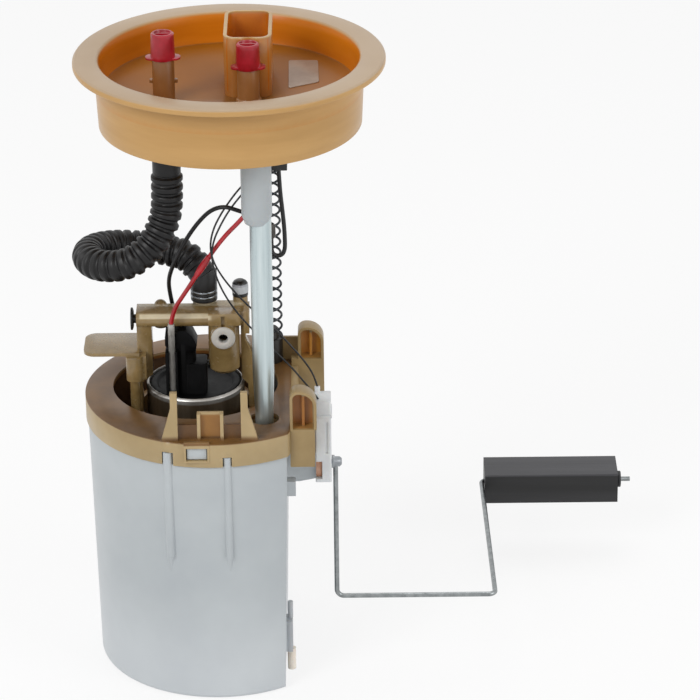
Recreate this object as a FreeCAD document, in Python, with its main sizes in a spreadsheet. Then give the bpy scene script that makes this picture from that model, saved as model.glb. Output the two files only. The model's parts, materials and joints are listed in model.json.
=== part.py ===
# Fuel pump module: a swirl pot with its electric pump, a level sender and a spring loaded tank flange.
# Millimetres. Origin: centre of the pot's round base, on the tank floor. +Z up, +X towards the sender.
import FreeCAD, Part, Sketcher
import math
import operator
import os

from FreeCAD import Placement, Rotation, Vector

doc = FreeCAD.newDocument("fuel_pump_module")
sheet = doc.addObject("Spreadsheet::Sheet", "Dimensions")


# Named sizes

class Size:
    """A number together with the sheet expression that gives it."""

    def __init__(self, number, text):
        self.number = float(number)
        self.text = text

    def __add__(self, other):
        return combine(self, "+", other)

    def __radd__(self, other):
        return combine(other, "+", self)

    def __sub__(self, other):
        return combine(self, "-", other)

    def __rsub__(self, other):
        return combine(other, "-", self)

    def __mul__(self, other):
        return combine(self, "*", other)

    def __rmul__(self, other):
        return combine(other, "*", self)

    def __truediv__(self, other):
        return combine(self, "/", other)

    def __neg__(self):
        return combine(0, "-", self)


OPERATIONS = {"+": operator.add, "-": operator.sub, "*": operator.mul, "/": operator.truediv}


def as_size(value):
    return value if isinstance(value, Size) else Size(value, str(value))


def combine(left, sign, right):
    first = as_size(left)
    second = as_size(right)
    number = OPERATIONS[sign](first.number, second.number)
    return Size(number, f"({first.text} {sign} {second.text})")


def root(size):
    return Size(math.sqrt(size.number), f"sqrt({size.text})")


class Names:
    """Every cell of the sheet as an attribute."""


SIZES = {
    # Clearances
    "seat_gap": 0.2,
    "running_gap": 0.05,
    "soft_gap": 0.35,
    "cord_gap": 0.3,
    "cap_fit": 0.1,
    "rib_gap": 0.3,
    "brush_gap": 0.1,
    "pin_gap": 0.02,

    # Swirl pot
    "cup_base_radius": 54.9,
    "cup_top_radius": 57.0,
    "cup_wall": 1.8,
    "cup_floor": 2.2,
    "cup_shoulder": 116.8,
    "cup_neck": 8.6,
    "cup_neck_step": 1.1,
    "cup_foot_edge": 2.4,
    "flat_offset": 33.0,
    "corner_radius": 6.0,
    "rib_bottom": 62.0,
    "rib_taper": 10.0,
    "left_rib_x": -19.4,
    "left_rib_radius": 2.1,
    "right_rib_x": 6.5,
    "right_rib_radius": 1.65,
    "lug_x": -6.6,
    "lug_width": 8.2,
    "lug_height": 5.0,
    "lug_depth": 1.5,
    "cup_flat_top": 32.2,
    "cup_flat_foot": 29.6,
    "flat_allowance": 0.7,
    "limit_margin": 0.3,
    "rib_sink": 0.6,
    "rib_tip": 0.2,
    "rib_lean": 0.9,
    "neck_slope": 4.0,
    "lug_rise_above_ring": 3.8,
    "lug_sink": 0.4,
    "lug_root": 4.0,
    "web_thickness": 3.0,
    "web_drop": 1.4,
    "web_level": 4.0,
    "hook_front": -41.0,
    "hook_depth": 5.0,
    "hook_reach": 2.6,
    "hook_height": 7.0,
    "pad_depth": 1.0,
    "pad_sink": 0.6,

    # Lid ring
    "ring_plate": 2.5,
    "ring_overhang": 0.9,
    "ring_flat_step": 0.6,
    "opening_radius": 36.8,
    "guide_hole_radius": 6.4,
    "post_height": 22.6,
    "post_width": 3.0,
    "post_depth": 2.4,
    "post_y": -52.6,
    "left_post_x": -16.2,
    "right_post_x": 14.2,
    "gusset_width": 4.4,
    "gusset_height": 15.0,
    "bracket_width": 11.4,
    "bracket_height": 12.4,
    "fence_height": 6.4,
    "fence_wall": 1.4,
    "window_border": 1.4,
    "window_gap": 0.5,
    "window_low": 3.3,
    "border_low": 2.4,
    "border_rise": 1.0,
    "border_reach": 0.3,
    "left_slot_rise": 6.0,
    "right_slot_rise": 4.6,
    "bracket_shift": 6.0,
    "cheek_width": 1.4,
    "cheek_depth": 2.2,

    # Pump
    "pump_x": -9.0,
    "pump_y": 5.0,
    "casing_radius": 21.8,
    "casing_wall": 1.1,
    "casing_bottom": 36.0,
    "casing_length": 93.8,
    "crimp": 0.9,
    "crimp_thickness": 0.6,
    "cap_sink": 0.6,
    "cap_rim": 1.2,
    "cap_rim_width": 3.0,
    "bearing_wall": 3.0,
    "bearing_depth": 4.0,
    "bearing_bore_depth": 5.0,
    "shaft_stop": 0.4,
    "inlet_wall": 1.4,
    "inlet_flare": 2.0,
    "end_cap_thickness": 9.0,
    "inlet_thickness": 5.6,
    "inlet_nipple_radius": 5.0,
    "inlet_nipple_length": 11.0,
    "impeller_thickness": 3.6,
    "impeller_radius": 20.2,
    "plate_thickness": 5.4,
    "axial_gap": 0.3,
    "shaft_radius": 2.4,
    "armature_radius": 14.6,
    "armature_length": 44.0,
    "armature_slots": 8,
    "slot_width": 3.0,
    "slot_depth": 4.0,
    "commutator_radius": 8.0,
    "commutator_length": 8.0,
    "magnet_thickness": 4.2,
    "magnet_half_width": 13.0,
    "brush_width": 4.0,
    "brush_height": 5.0,
    "brush_length": 8.0,
    "brush_offset": 1.0,
    "brush_holder_wall": 0.8,
    "brush_holder_side": 2.0,
    "brush_holder_near": 9.8,
    "brush_holder_far": 16.6,
    "commutator_collar": 1.2,
    "armature_lift": 5.0,
    "commutator_lift": 1.0,
    "magnet_fit": 0.05,
    "vane_gap_length": 4.0,
    "vane_gap_width": 2.4,
    "vane_gap_depth": 2.6,

    # Outlet tower and terminals
    "tower_x": -13.7,
    "tower_y": -1.2,
    "tower_radius": 5.6,
    "tower_height": 22.8,
    "neck_radius": 2.6,
    "terminal_x": -18.4,
    "terminal_width": 2.8,
    "terminal_thickness": 0.8,
    "terminal_front_y": -9.6,
    "terminal_back_y": 9.6,
    "terminal_height": 30.2,
    "terminal_block": 21.0,
    "terminal_block_width": 5.2,
    "terminal_block_depth": 6.0,
    "hood_depth": 11.0,
    "hood_rise": 29.4,
    "side_block_rise": 13.2,
    "side_block_right": -3.4,
    "side_block_depth": 11.0,
    "neck_x": -16.0,
    "neck_y": 5.2,
    "block_inset": 1.4,
    "block_margin": 0.9,
    "tower_sink": 0.4,
    "hood_overlap": 3.0,
    "hood_left": 2.2,
    "hood_right": 0.6,
    "hood_side": 7.0,
    "hood_bevel": 3.0,
    "hood_bevel_width": 1.2,
    "hood_crown": 1.5,
    "side_block_round": 2.0,
    "neck_sink": 8.0,
    "neck_seat_height": 4.0,
    "terminal_foot": 2.0,
    "crimp_radius": 1.5,
    "crimp_length": 5.0,
    "crimp_overlap": 1.0,

    # Pump holder
    "holder_radius": 24.4,
    "holder_wall": 1.8,
    "holder_height": 116.0,
    "damper_height": 6.0,
    "damper_low": 62.0,
    "damper_high": 104.0,
    "foot_opening": 16.0,
    "foot_window_height": 11.0,
    "holder_lip": 0.8,
    "holder_lip_height": 2.0,
    "holder_boss_height": 18.0,
    "holder_web_length": 5.0,
    "holder_web_width": 2.4,

    # Strainer
    "sock_radius": 18.5,
    "sock_height": 9.0,
    "sock_collar": 6.0,
    "sock_collar_wall": 2.0,

    # Bridge
    "bar_left": -34.0,
    "bar_right": 13.8,
    "bar_front": -5.0,
    "bar_back": 6.0,
    "bar_plate": 2.6,
    "bridge_rise": 48.2,
    "bar_tube_radius": 3.6,
    "leg_width": 6.6,
    "leg_depth": 8.0,
    "leg_foot_width": 3.0,
    "leg_step_height": 14.0,
    "right_leg_x": 14.6,
    "right_leg_width": 2.6,
    "lip_width": 2.0,
    "lip_drop": 9.6,
    "lip_rise": 0.6,
    "lip_front": 1.0,
    "leg_slope": 4.0,
    "leg_gusset": 3.0,
    "boss_x": -35.2,
    "boss_y": -8.0,
    "boss_radius": 3.7,
    "boss_low_radius": 2.2,
    "boss_height": 11.0,
    "boss_lift": 18.0,
    "paddle_left": -57.7,
    "paddle_depth": 22.0,
    "paddle_thickness": 1.5,
    "paddle_corner": 5.0,
    "paddle_y": 3.0,
    "paddle_lift": 29.0,
    "dome_x": -23.6,
    "dome_radius": 2.9,
    "dome_drop": 8.0,
    "dome_shoulder": 0.8,
    "dome_sink": 0.4,
    "valve_x": 4.3,
    "valve_radius": 6.9,
    "valve_drop": 26.6,
    "valve_edge": 1.6,
    "valve_top": 1.0,
    "snout_margin": 0.3,
    "head_rise": 0.3,
    "slit_depth": 1.4,
    "slit_top": 0.8,
    "plug_edge": 0.9,
    "plug_edge_height": 0.6,
    "plug_radius": 5.3,
    "plug_thickness": 1.5,
    "plug_shank": 2.4,
    "snout_length": 0.6,
    "plug_rise": -8.2,
    "plug_hole": 2.1,
    "valve_bore": 3.3,
    "valve_bore_depth": 9.5,
    "ball_radius": 2.7,
    "fitting_x": -4.3,
    "fitting_y": 8.0,
    "riser_radius": 4.4,
    "riser_height": 3.6,
    "fitting_radius": 5.9,
    "fitting_groove": 0.6,
    "fitting_height": 11.2,
    "fitting_bore": 2.5,
    "stub_x": 11.7,
    "stub_radius": 2.5,
    "stub_height": 8.6,
    "stub_cap_radius": 3.5,
    "pin_disc_radius": 5.0,
    "pin_disc": 1.2,
    "pin_neck_radius": 2.0,
    "pin_neck": 1.2,
    "pin_length": 3.0,
    "pipe_drop": 1.0,
    "pipe_front": 0.6,
    "head_left": -2.2,
    "head_right": 12.0,
    "head_front": -7.2,
    "head_drop": 5.2,
    "head_slit": 1.7,
    "right_leg_inner": 11.8,
    "right_leg_top": 13.8,
    "right_leg_knee": 23.0,
    "right_leg_bend": 32.0,
    "fitting_lift": 1.4,
    "fitting_overrun": 6.0,
    "shelf_left": 5.0,
    "shelf_right": 2.0,
    "shelf_reach": 1.0,
    "band_stand": 0.1,
    "clamp_low": 1.5,
    "clamp_high": 3.9,
    "clamp_width": 1.3,
    "stub_foot_radius": 3.3,
    "stub_foot_height": 2.8,
    "stub_band_low": 1.4,
    "stub_band_width": 3.4,
    "stub_dome": 1.6,
    "stub_dome_share": 0.4,
    "stub_roof": 1.6,
    "stub_seat_gap": 0.3,
    "stub_groove": 0.5,
    "stub_band_stand": 0.15,
    "pin_bevel": 1.2,
    "pin_bevel_height": 0.4,

    # Sender bracket
    "bracket_back_y": 31.0,
    "bracket_front_y": -44.0,
    "bracket_web": 3.0,
    "bracket_drop": 18.0,
    "arch_width": 11.6,
    "arch_depth": 8.0,
    "arch_wall": 1.2,
    "block_height": 19.0,
    "rear_block_x": 36.6,
    "front_arch_left": 33.6,
    "rear_arch_height": 15.6,
    "front_arch_height": 18.2,
    "arch_left_round": 3.6,
    "arch_right_round": 7.4,
    "arch_sink": 0.2,
    "rear_block_rise": 3.0,
    "rail_width": 2.4,
    "rear_fence_left": 3.4,
    "rear_fence_right": 3.0,
    "rear_fence_wall": 1.6,
    "rear_fence_height": 11.0,

    # Level sender
    "sender_left": 44.3,
    "sender_width": 7.1,
    "sender_y": -25.0,
    "sender_depth": 11.0,
    "sender_bottom": 95.5,
    "sender_top": 134.9,
    "sender_edge": 0.8,
    "pivot_height": 103.0,
    "hub_radius": 2.9,
    "hub_width": 4.4,
    "arm_radius": 1.1,
    "arm_drop": 67.4,
    "arm_reach": 69.0,
    "arm_back": 113.6,
    "arm_side": 71.0,
    "arm_bend": 3.2,
    "arm_first_bend": 1.6,
    "arm_hold": 5.5,
    "hub_gap": 0.1,
    "hub_collar": 1.2,
    "hub_waist": 0.6,
    "hub_bevel": 0.8,
    "hub_bevel_height": 1.0,
    "float_gap": 1.4,
    "float_length": 63.2,
    "float_depth": 20.6,
    "float_height": 14.9,
    "float_sink": 0.0,
    "float_edge": 0.8,
    "washer_radius": 3.9,
    "washer_thickness": 1.6,
    "lug_rise": 2.9,
    "lug_side": 2.4,
    "lug_margin": 0.8,
    "crown_stand": 0.4,
    "crown_drop": 8.0,
    "crown_height": 1.4,
    "card_front": 2.4,
    "card_thickness": 0.8,
    "card_width": 2.6,
    "card_margin": 0.2,
    "card_below_pivot": 6.0,
    "card_above_pivot": 2.6,
    "groove_edge": 2.6,
    "groove_width": 1.2,
    "groove_depth": 0.6,
    "groove_low": 14.0,
    "groove_high": 10.0,
    "bore_depth": 6.0,
    "washer_gap": 0.4,
    "arm_drift": 2.2,

    # Tank flange
    "flange_x": 9.6,
    "rim_radius": 67.0,
    "rim_thickness": 3.0,
    "rim_top": 285.0,
    "bowl_radius": 55.9,
    "bowl_floor_radius": 54.2,
    "bowl_depth": 14.0,
    "floor_thickness": 3.0,
    "wall_top_radius": 58.0,
    "wall_bottom_radius": 56.7,
    "skirt_bottom": 254.8,
    "skirt_wall": 2.4,
    "rim_edge": 0.9,

    # Nipples and caps
    "supply_x": -17.6,
    "supply_y": -19.4,
    "supply_height": 19.8,
    "supply_cap": 11.4,
    "return_x": 18.2,
    "return_y": -18.8,
    "return_height": 14.9,
    "return_cap": 11.0,
    "nipple_radius": 4.7,
    "nipple_tip": 3.9,
    "nipple_bore": 2.4,
    "nipple_foot": 5.4,
    "spigot_radius": 3.9,
    "supply_spigot": 23.0,
    "return_spigot": 8.0,
    "transport_cap_low": 5.25,
    "transport_cap_high": 4.85,
    "cap_roof": 1.6,
    "cap_recess": 0.9,
    "ear_reach": 7.4,
    "ear_width": 6.4,
    "ear_thickness": 0.8,
    "nub_height": 9.0,
    "nub_reach": 1.3,
    "nub_side": 2.0,
    "nub_rise": 1.6,
    "spigot_bevel": 0.5,
    "spigot_bevel_height": 1.5,
    "nipple_collar": 1.0,
    "nipple_slope": 0.6,
    "tip_bevel": 0.8,
    "tip_bevel_height": 1.5,
    "tip_gap": 1.0,
    "cap_bore_gap": 0.08,
    "cap_shoulder": 0.5,
    "cap_edge": 1.2,
    "recess_bevel": 0.2,
    "roof_drop": 0.4,
    "ear_round_margin": 0.4,
    "ear_sink": 0.6,
    "cross_width": 1.0,
    "cross_below": 1.0,
    "cross_above": 0.2,

    # Connector
    "socket_x": 17.9,
    "socket_width": 20.5,
    "socket_front": -14.6,
    "socket_length": 36.0,
    "socket_height": 26.6,
    "socket_wall": 1.5,
    "socket_corner": 5.2,
    "socket_floor": 3.0,
    "terminal_pin_length": 9.0,
    "terminal_pin_width": 2.8,
    "terminal_pin_thickness": 0.8,
    "terminal_pitch": 5.6,
    "terminal_rows": 4,

    # Guide and spring
    "guide_x": 22.3,
    "guide_y": -32.0,
    "tube_radius": 4.7,
    "rod_radius": 4.0,
    "rod_bottom": 58.0,
    "swage_low": 132.0,
    "swage_high": 150.0,
    "guide_wall": 1.1,
    "sleeve_radius": 6.6,
    "sleeve_bottom": 224.5,
    "sleeve_taper": 3.8,
    "socket_tube_radius": 7.3,
    "bush_bottom": 60.0,
    "bush_height": 16.0,
    "spring_x": 24.8,
    "spring_y": 29.0,
    "spring_radius": 4.6,
    "spring_wire": 0.55,
    "spring_turns": 24,
    "seat_radius": 4.9,
    "seat_height": 11.4,
    "seat_pin_radius": 3.3,
    "seat_pin": 5.0,
    "spring_cup_depth": 5.0,
    "sleeve_x": 20.9,
    "sleeve_edge": 1.4,
    "socket_shoulder": 2.5,
    "seat_pin_bevel": 1.0,
    "cup_margin": 0.6,
    "cup_pin": 4.0,
    "socket_slim_radius": 6.1,
    "socket_slim_bore": 5.1,
    "socket_step": 94.0,
    "socket_narrow_top": 80.0,

    # Hose and leads
    "hose_radius": 6.9,
    "cuff_radius": 6.1,
    "cuff_height": 12.4,
    "cuff_low": 240.0,
    "lead_radius": 0.95,
    "red_radius": 1.0,
    "splice_radius": 1.7,
    "red_splice_length": 11.0,
    "black_splice_radius": 2.0,
    "black_splice_length": 6.8,
    "sender_wire_radius": 0.42,
    "plug_left": 19.0,
    "plug_right": 34.0,
    "plug_low": 241.0,
    "plug_front": -24.0,
    "plug_back": -15.0,
    "plug_height": 4.2,
    "stem_left": 5.0,
    "stem_right": 2.6,
    "stem_margin": 1.0,
    "cuff_edge": 0.6,
    "black_splice_start": 1.4,
    "red_splice_start": 1.0,
    "hose_seat": 1.4,

    # Jet pump
    "jet_y": -37.0,
    "jet_width": 8.0,
    "jet_depth": 2.6,
    "jet_low": 16.0,
    "jet_high": 31.0,
    "nozzle_low": 5.6,
    "nozzle_radius": 1.9,
    "jet_pipe_radius": 1.2,
    "jet_pipe_length": 8.0,
    "jet_pipe_wall": 0.4,
    "jet_pipe_shift": 1.0,
}


d = Names()
next_row = 1


def enter(name, text, number):
    """Write one size into the next row of the sheet, under its name."""
    global next_row
    sheet.set(f"A{next_row}", name)
    sheet.set(f"B{next_row}", text)
    sheet.setAlias(f"B{next_row}", name)
    setattr(d, name, Size(number, f"Dimensions.{name}"))
    next_row += 1


def derive(**named):
    """Enter sizes that follow from earlier ones as formulas."""
    for name, size in named.items():
        enter(name, "=" + size.text.replace("Dimensions.", ""), size.number)


for given_name, given_number in SIZES.items():
    enter(given_name, str(given_number), given_number)

derive(ring_bottom=d.cup_shoulder,
       cup_top=d.cup_shoulder + d.cup_neck,
       ring_radius=d.cup_top_radius + d.ring_overhang,
       ring_bore=d.cup_top_radius - d.cup_neck_step + d.seat_gap)
derive(ring_top=d.cup_top + d.ring_plate)
derive(bracket_low=d.ring_top - d.bracket_drop)
derive(casing_top=d.casing_bottom + d.casing_length, casing_bore=d.casing_radius - d.casing_wall)
derive(inlet_top=d.casing_bottom + d.inlet_thickness,
       impeller_bottom=d.casing_bottom + d.inlet_thickness + d.axial_gap)
derive(impeller_top=d.impeller_bottom + d.impeller_thickness,
       chamber_bottom=d.impeller_bottom + d.impeller_thickness + d.axial_gap)
derive(chamber_top=d.chamber_bottom + d.plate_thickness,
       cap_top=d.casing_top - d.cap_sink,
       cap_bottom=d.casing_top - d.cap_sink - d.end_cap_thickness,
       armature_bottom=d.chamber_bottom + d.plate_thickness + d.armature_lift)
derive(armature_top=d.armature_bottom + d.armature_length,
       commutator_bottom=d.armature_bottom + d.armature_length + d.commutator_lift)
derive(holder_top=d.cup_floor + d.holder_height, holder_outside=d.holder_radius + d.holder_wall)
derive(bar_top=d.holder_top + d.bridge_rise)
derive(bar_under=d.bar_top - d.bar_plate)
derive(brush_middle=d.commutator_bottom + d.commutator_length / 2 + d.brush_offset)
derive(bowl_floor=d.rim_top - d.bowl_depth,
       flange_under=d.rim_top - d.bowl_depth - d.floor_thickness)


# Tools of the trade

# How far a cutter reaches past the face it opens, how deep a piece sinks into its carrier before they
# are fused, a length well beyond what a cutter limits, and an arc's share of the shorter run beside it.
OVER = 1
SINK = 0.5
FAR = 20
ARC_SHARE = 0.45

parts = {}


def keep(node, item):
    """Name the finished object of one sub-part."""
    item.Label = node
    parts[node] = item
    return item


def bind(item, path, size):
    if isinstance(size, Size):
        item.setExpression(path, size.text)


def move_to(item, x, y, z, rotation=None):
    place = [as_size(value) for value in (x, y, z)]
    base = Vector(*[value.number for value in place])
    item.Placement = Placement(base, rotation or Rotation())
    for axis, value in zip("xyz", (x, y, z)):
        bind(item, f"Placement.Base.{axis}", value)
    return item


def set_sizes(item, **named):
    for name, size in named.items():
        setattr(item, name, as_size(size).number)
        bind(item, name, size)


ALONG_X = Rotation(Vector(0, 1, 0), 90)
ALONG_Y = Rotation(Vector(1, 0, 0), -90)


def cylinder(name, radius, height, x=0, y=0, z=0, along=None):
    item = doc.addObject("Part::Cylinder", name)
    set_sizes(item, Radius=radius, Height=height)
    return move_to(item, x, y, z, along)


def cone(name, low_radius, high_radius, height, x=0, y=0, z=0, along=None):
    item = doc.addObject("Part::Cone", name)
    set_sizes(item, Radius1=low_radius, Radius2=high_radius, Height=height)
    return move_to(item, x, y, z, along)


def block(name, x_low, x_high, y_low, y_high, z_low, z_high):
    """A box between six named limits."""
    item = doc.addObject("Part::Box", name)
    set_sizes(item, Length=x_high - x_low, Width=y_high - y_low, Height=z_high - z_low)
    return move_to(item, x_low, y_low, z_low)


def fuse(name, *items):
    item = doc.addObject("Part::MultiFuse", name)
    item.Shapes = list(items)
    item.Refine = True
    return item


def cut(name, base, *tools):
    item = doc.addObject("Part::Cut", name)
    item.Base = base
    item.Tool = tools[0] if len(tools) == 1 else fuse(name + "_tools", *tools)
    return item


def common(name, first, second):
    item = doc.addObject("Part::Common", name)
    item.Base = first
    item.Tool = second
    return item


def group(name, *items):
    """Separate solids that share one node."""
    item = doc.addObject("Part::Compound", name)
    item.Links = list(items)
    return item


def rounded(name, source, radius, wanted):
    """Round the edges of source that wanted picks."""
    doc.recompute()
    picked = [number for number, edge in enumerate(source.Shape.Edges, 1) if wanted(edge)]
    if not picked:
        raise RuntimeError(f"{name}: no edge to round")
    item = doc.addObject("Part::Fillet", name)
    item.Base = source
    item.Edges = [(number, as_size(radius).number, as_size(radius).number) for number in picked]
    return item


def is_upright(edge):
    first, last = edge.Vertexes[0].Point, edge.Vertexes[-1].Point
    return math.hypot(first.x - last.x, first.y - last.y) < abs(first.z - last.z) * 0.1


def runs_along(axis):
    """Picks the straight edges along one axis."""
    def wanted(edge):
        if len(edge.Vertexes) < 2 or edge.Curve.TypeId != "Part::GeomLine":
            return False
        step = edge.Vertexes[-1].Point - edge.Vertexes[0].Point
        return abs(step.dot(axis)) > 0.99 * step.Length
    return wanted


def origin_plane(body, role):
    return next(plane for plane in body.Origin.OriginFeatures if plane.Role == role)


def outline(body, role, points, name):
    """A closed sketch on one origin plane. A point is (u, v), or (u, v, radius) where a round edge
    arrives at it: a positive radius turns left on the way, a negative one right."""
    sketch = body.newObject("Sketcher::SketchObject", name)
    sketch.AttachmentSupport = (origin_plane(body, role), [""])
    sketch.MapMode = "FlatFace"
    places = [Vector(as_size(p[0]).number, as_size(p[1]).number, 0) for p in points]
    ends = []
    for number, point in enumerate(points):
        start, end = places[number - 1], places[number]
        if len(point) == 2:
            sketch.addGeometry(Part.LineSegment(start, end), False)
            ends.append((1, 2))
            continue
        bend = as_size(point[2]).number
        half = (end - start) * 0.5
        side = Vector(-half.y, half.x, 0).normalize() * math.sqrt(max(bend * bend - half.Length ** 2, 0))
        centre = start + half + side * math.copysign(1, bend)
        from_angle, to_angle = [math.atan2((p - centre).y, (p - centre).x) for p in (start, end)]
        if bend < 0:
            from_angle, to_angle = to_angle, from_angle
        circle = Part.Circle(centre, Vector(0, 0, 1), abs(bend))
        sketch.addGeometry(Part.ArcOfCircle(circle, from_angle, to_angle), False)
        ends.append((1, 2) if bend > 0 else (2, 1))
    count = len(points)
    for number in range(count):
        following = (number + 1) % count
        joined = Sketcher.Constraint("Coincident", number, ends[number][1], following, ends[following][0])
        sketch.addConstraint(joined)
    for number, point in enumerate(points):
        for kind, value in (("DistanceX", point[0]), ("DistanceY", point[1])):
            if not isinstance(value, Size) and value == 0:
                axis = -2 if kind == "DistanceX" else -1
                sketch.addConstraint(Sketcher.Constraint("PointOnObject", number, ends[number][1], axis))
                continue
            limit = Sketcher.Constraint(kind, -1, 1, number, ends[number][1], as_size(value).number)
            index = sketch.addConstraint(limit)
            bind(sketch, f"Constraints[{index}]", value)
        if len(point) == 3:
            limit = Sketcher.Constraint("Radius", number, abs(as_size(point[2]).number))
            index = sketch.addConstraint(limit)
            bind(sketch, f"Constraints[{index}]", point[2] if as_size(point[2]).number > 0 else -point[2])
    return sketch


def turned(name, points, x=0, y=0, z=0, along=None):
    """A body of revolution: points are (radius, height) about its own upright axis."""
    body = doc.addObject("PartDesign::Body", name)
    sketch = outline(body, "XZ_Plane", points, name + "_profile")
    turn = body.newObject("PartDesign::Revolution", name + "_turn")
    turn.Profile = sketch
    turn.ReferenceAxis = (sketch, ["V_Axis"])
    turn.Angle = 360
    return move_to(body, x, y, z, along)


def plate(name, points, thickness, x=0, y=0, z=0):
    """A flat outline in plan, padded upwards."""
    body = doc.addObject("PartDesign::Body", name)
    sketch = outline(body, "XY_Plane", points, name + "_outline")
    pad = body.newObject("PartDesign::Pad", name + "_pad")
    pad.Profile = sketch
    set_sizes(pad, Length=thickness)
    return move_to(body, x, y, z)


def standing(name, role, points, thickness, x=0, y=0, z=0):
    """An outline seen from the front (XZ_Plane) or side (YZ_Plane), padded to both sides of x or y."""
    body = doc.addObject("PartDesign::Body", name)
    sketch = outline(body, role, points, name + "_outline")
    pad = body.newObject("PartDesign::Pad", name + "_pad")
    pad.Profile = sketch
    pad.SideType = "Symmetric"
    set_sizes(pad, Length=thickness)
    return move_to(body, x, y, z)


def at(x, y, z):
    return tuple(as_size(value).number for value in (x, y, z))


def route_wire(points, given_radii=None):
    """Straight runs joined by tangent arcs. Returns the wire, its arc radii and its length."""
    places = [Vector(*point) for point in points]
    edges = []
    radii = []
    start = places[0]
    for before, corner, after in zip(places, places[1:], places[2:]):
        way_in = (before - corner).normalize()
        way_out = (after - corner).normalize()
        half_turn = (math.pi - way_in.getAngle(way_out)) / 2
        shorter = min((corner - before).Length, (after - corner).Length)
        bend = given_radii[len(radii)] if given_radii else ARC_SHARE * shorter / math.tan(half_turn)
        setback = bend * math.tan(half_turn)
        arc_start = corner + way_in * setback
        arc_end = corner + way_out * setback
        centre = corner + (way_in + way_out).normalize() * (bend / math.cos(half_turn))
        middle = centre + (corner - centre).normalize() * bend
        edges.append(Part.LineSegment(start, arc_start).toShape())
        edges.append(Part.Arc(arc_start, middle, arc_end).toShape())
        radii.append(bend)
        start = arc_end
    edges.append(Part.LineSegment(start, places[-1]).toShape())
    wire = Part.Wire(edges)
    return wire, radii, wire.Length


def swept(node, points, radius, given_radii=None):
    """A round tube along a route, checked against its section times its length."""
    wire, radii, length = route_wire(points, given_radii)
    first = Vector(*points[0])
    section = Part.Wire(Part.Circle(first, Vector(*points[1]) - first, radius.number).toShape())
    shape = wire.makePipeShell([section], True, False)
    expected = math.pi * radius.number ** 2 * length
    if abs(shape.Volume - expected) > 0.02 * expected:
        raise RuntimeError(f"{node}: volume {shape.Volume:.1f}, expected {expected:.1f}")
    item = doc.addObject("Part::Feature", node)
    item.Shape = shape
    item.Placement = Placement()
    tightest = min(radii) if radii else 0
    print(f"{node}: length {length:.1f}, tightest arc {tightest:.1f}, diameter {2 * radius.number:.2f}")
    return keep(node, item)


# Swirl pot

def d_solid(name, round_body, radius, flat, corner):
    """Cut a round body off at the flat side, with the two upright corners rounded."""
    reach = radius + d.limit_margin
    inset = flat - corner
    centre_y = root((reach - corner) * (reach - corner) - inset * inset)
    stretch = reach / (reach - corner)
    touch_x, touch_y = inset * stretch, centre_y * stretch
    limit = plate(name + "_limit", [
        (flat, -centre_y, corner), (flat, centre_y), (touch_x, touch_y, corner), (-reach, 0, reach),
        (touch_x, -touch_y, reach)], d.ring_top + 2 * FAR, 0, 0, -FAR)
    return common(name, round_body, limit)


def cup_radius_at(height):
    """Outer radius of the tapered wall at a height."""
    taper = (d.cup_top_radius - d.cup_base_radius) / d.cup_shoulder
    return d.cup_base_radius + taper * height


def beyond_flat(name, inset):
    """Everything outside the drafted flat side, moved inwards by inset."""
    low, high = d.cup_flat_foot - inset, d.cup_flat_top - inset
    far = d.cup_top_radius + FAR
    return standing(name, "XZ_Plane", [
        (low, -OVER), (far, -OVER), (far, d.ring_top), (high, d.ring_top), (high, d.cup_shoulder)],
        2 * d.rim_radius)


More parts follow.
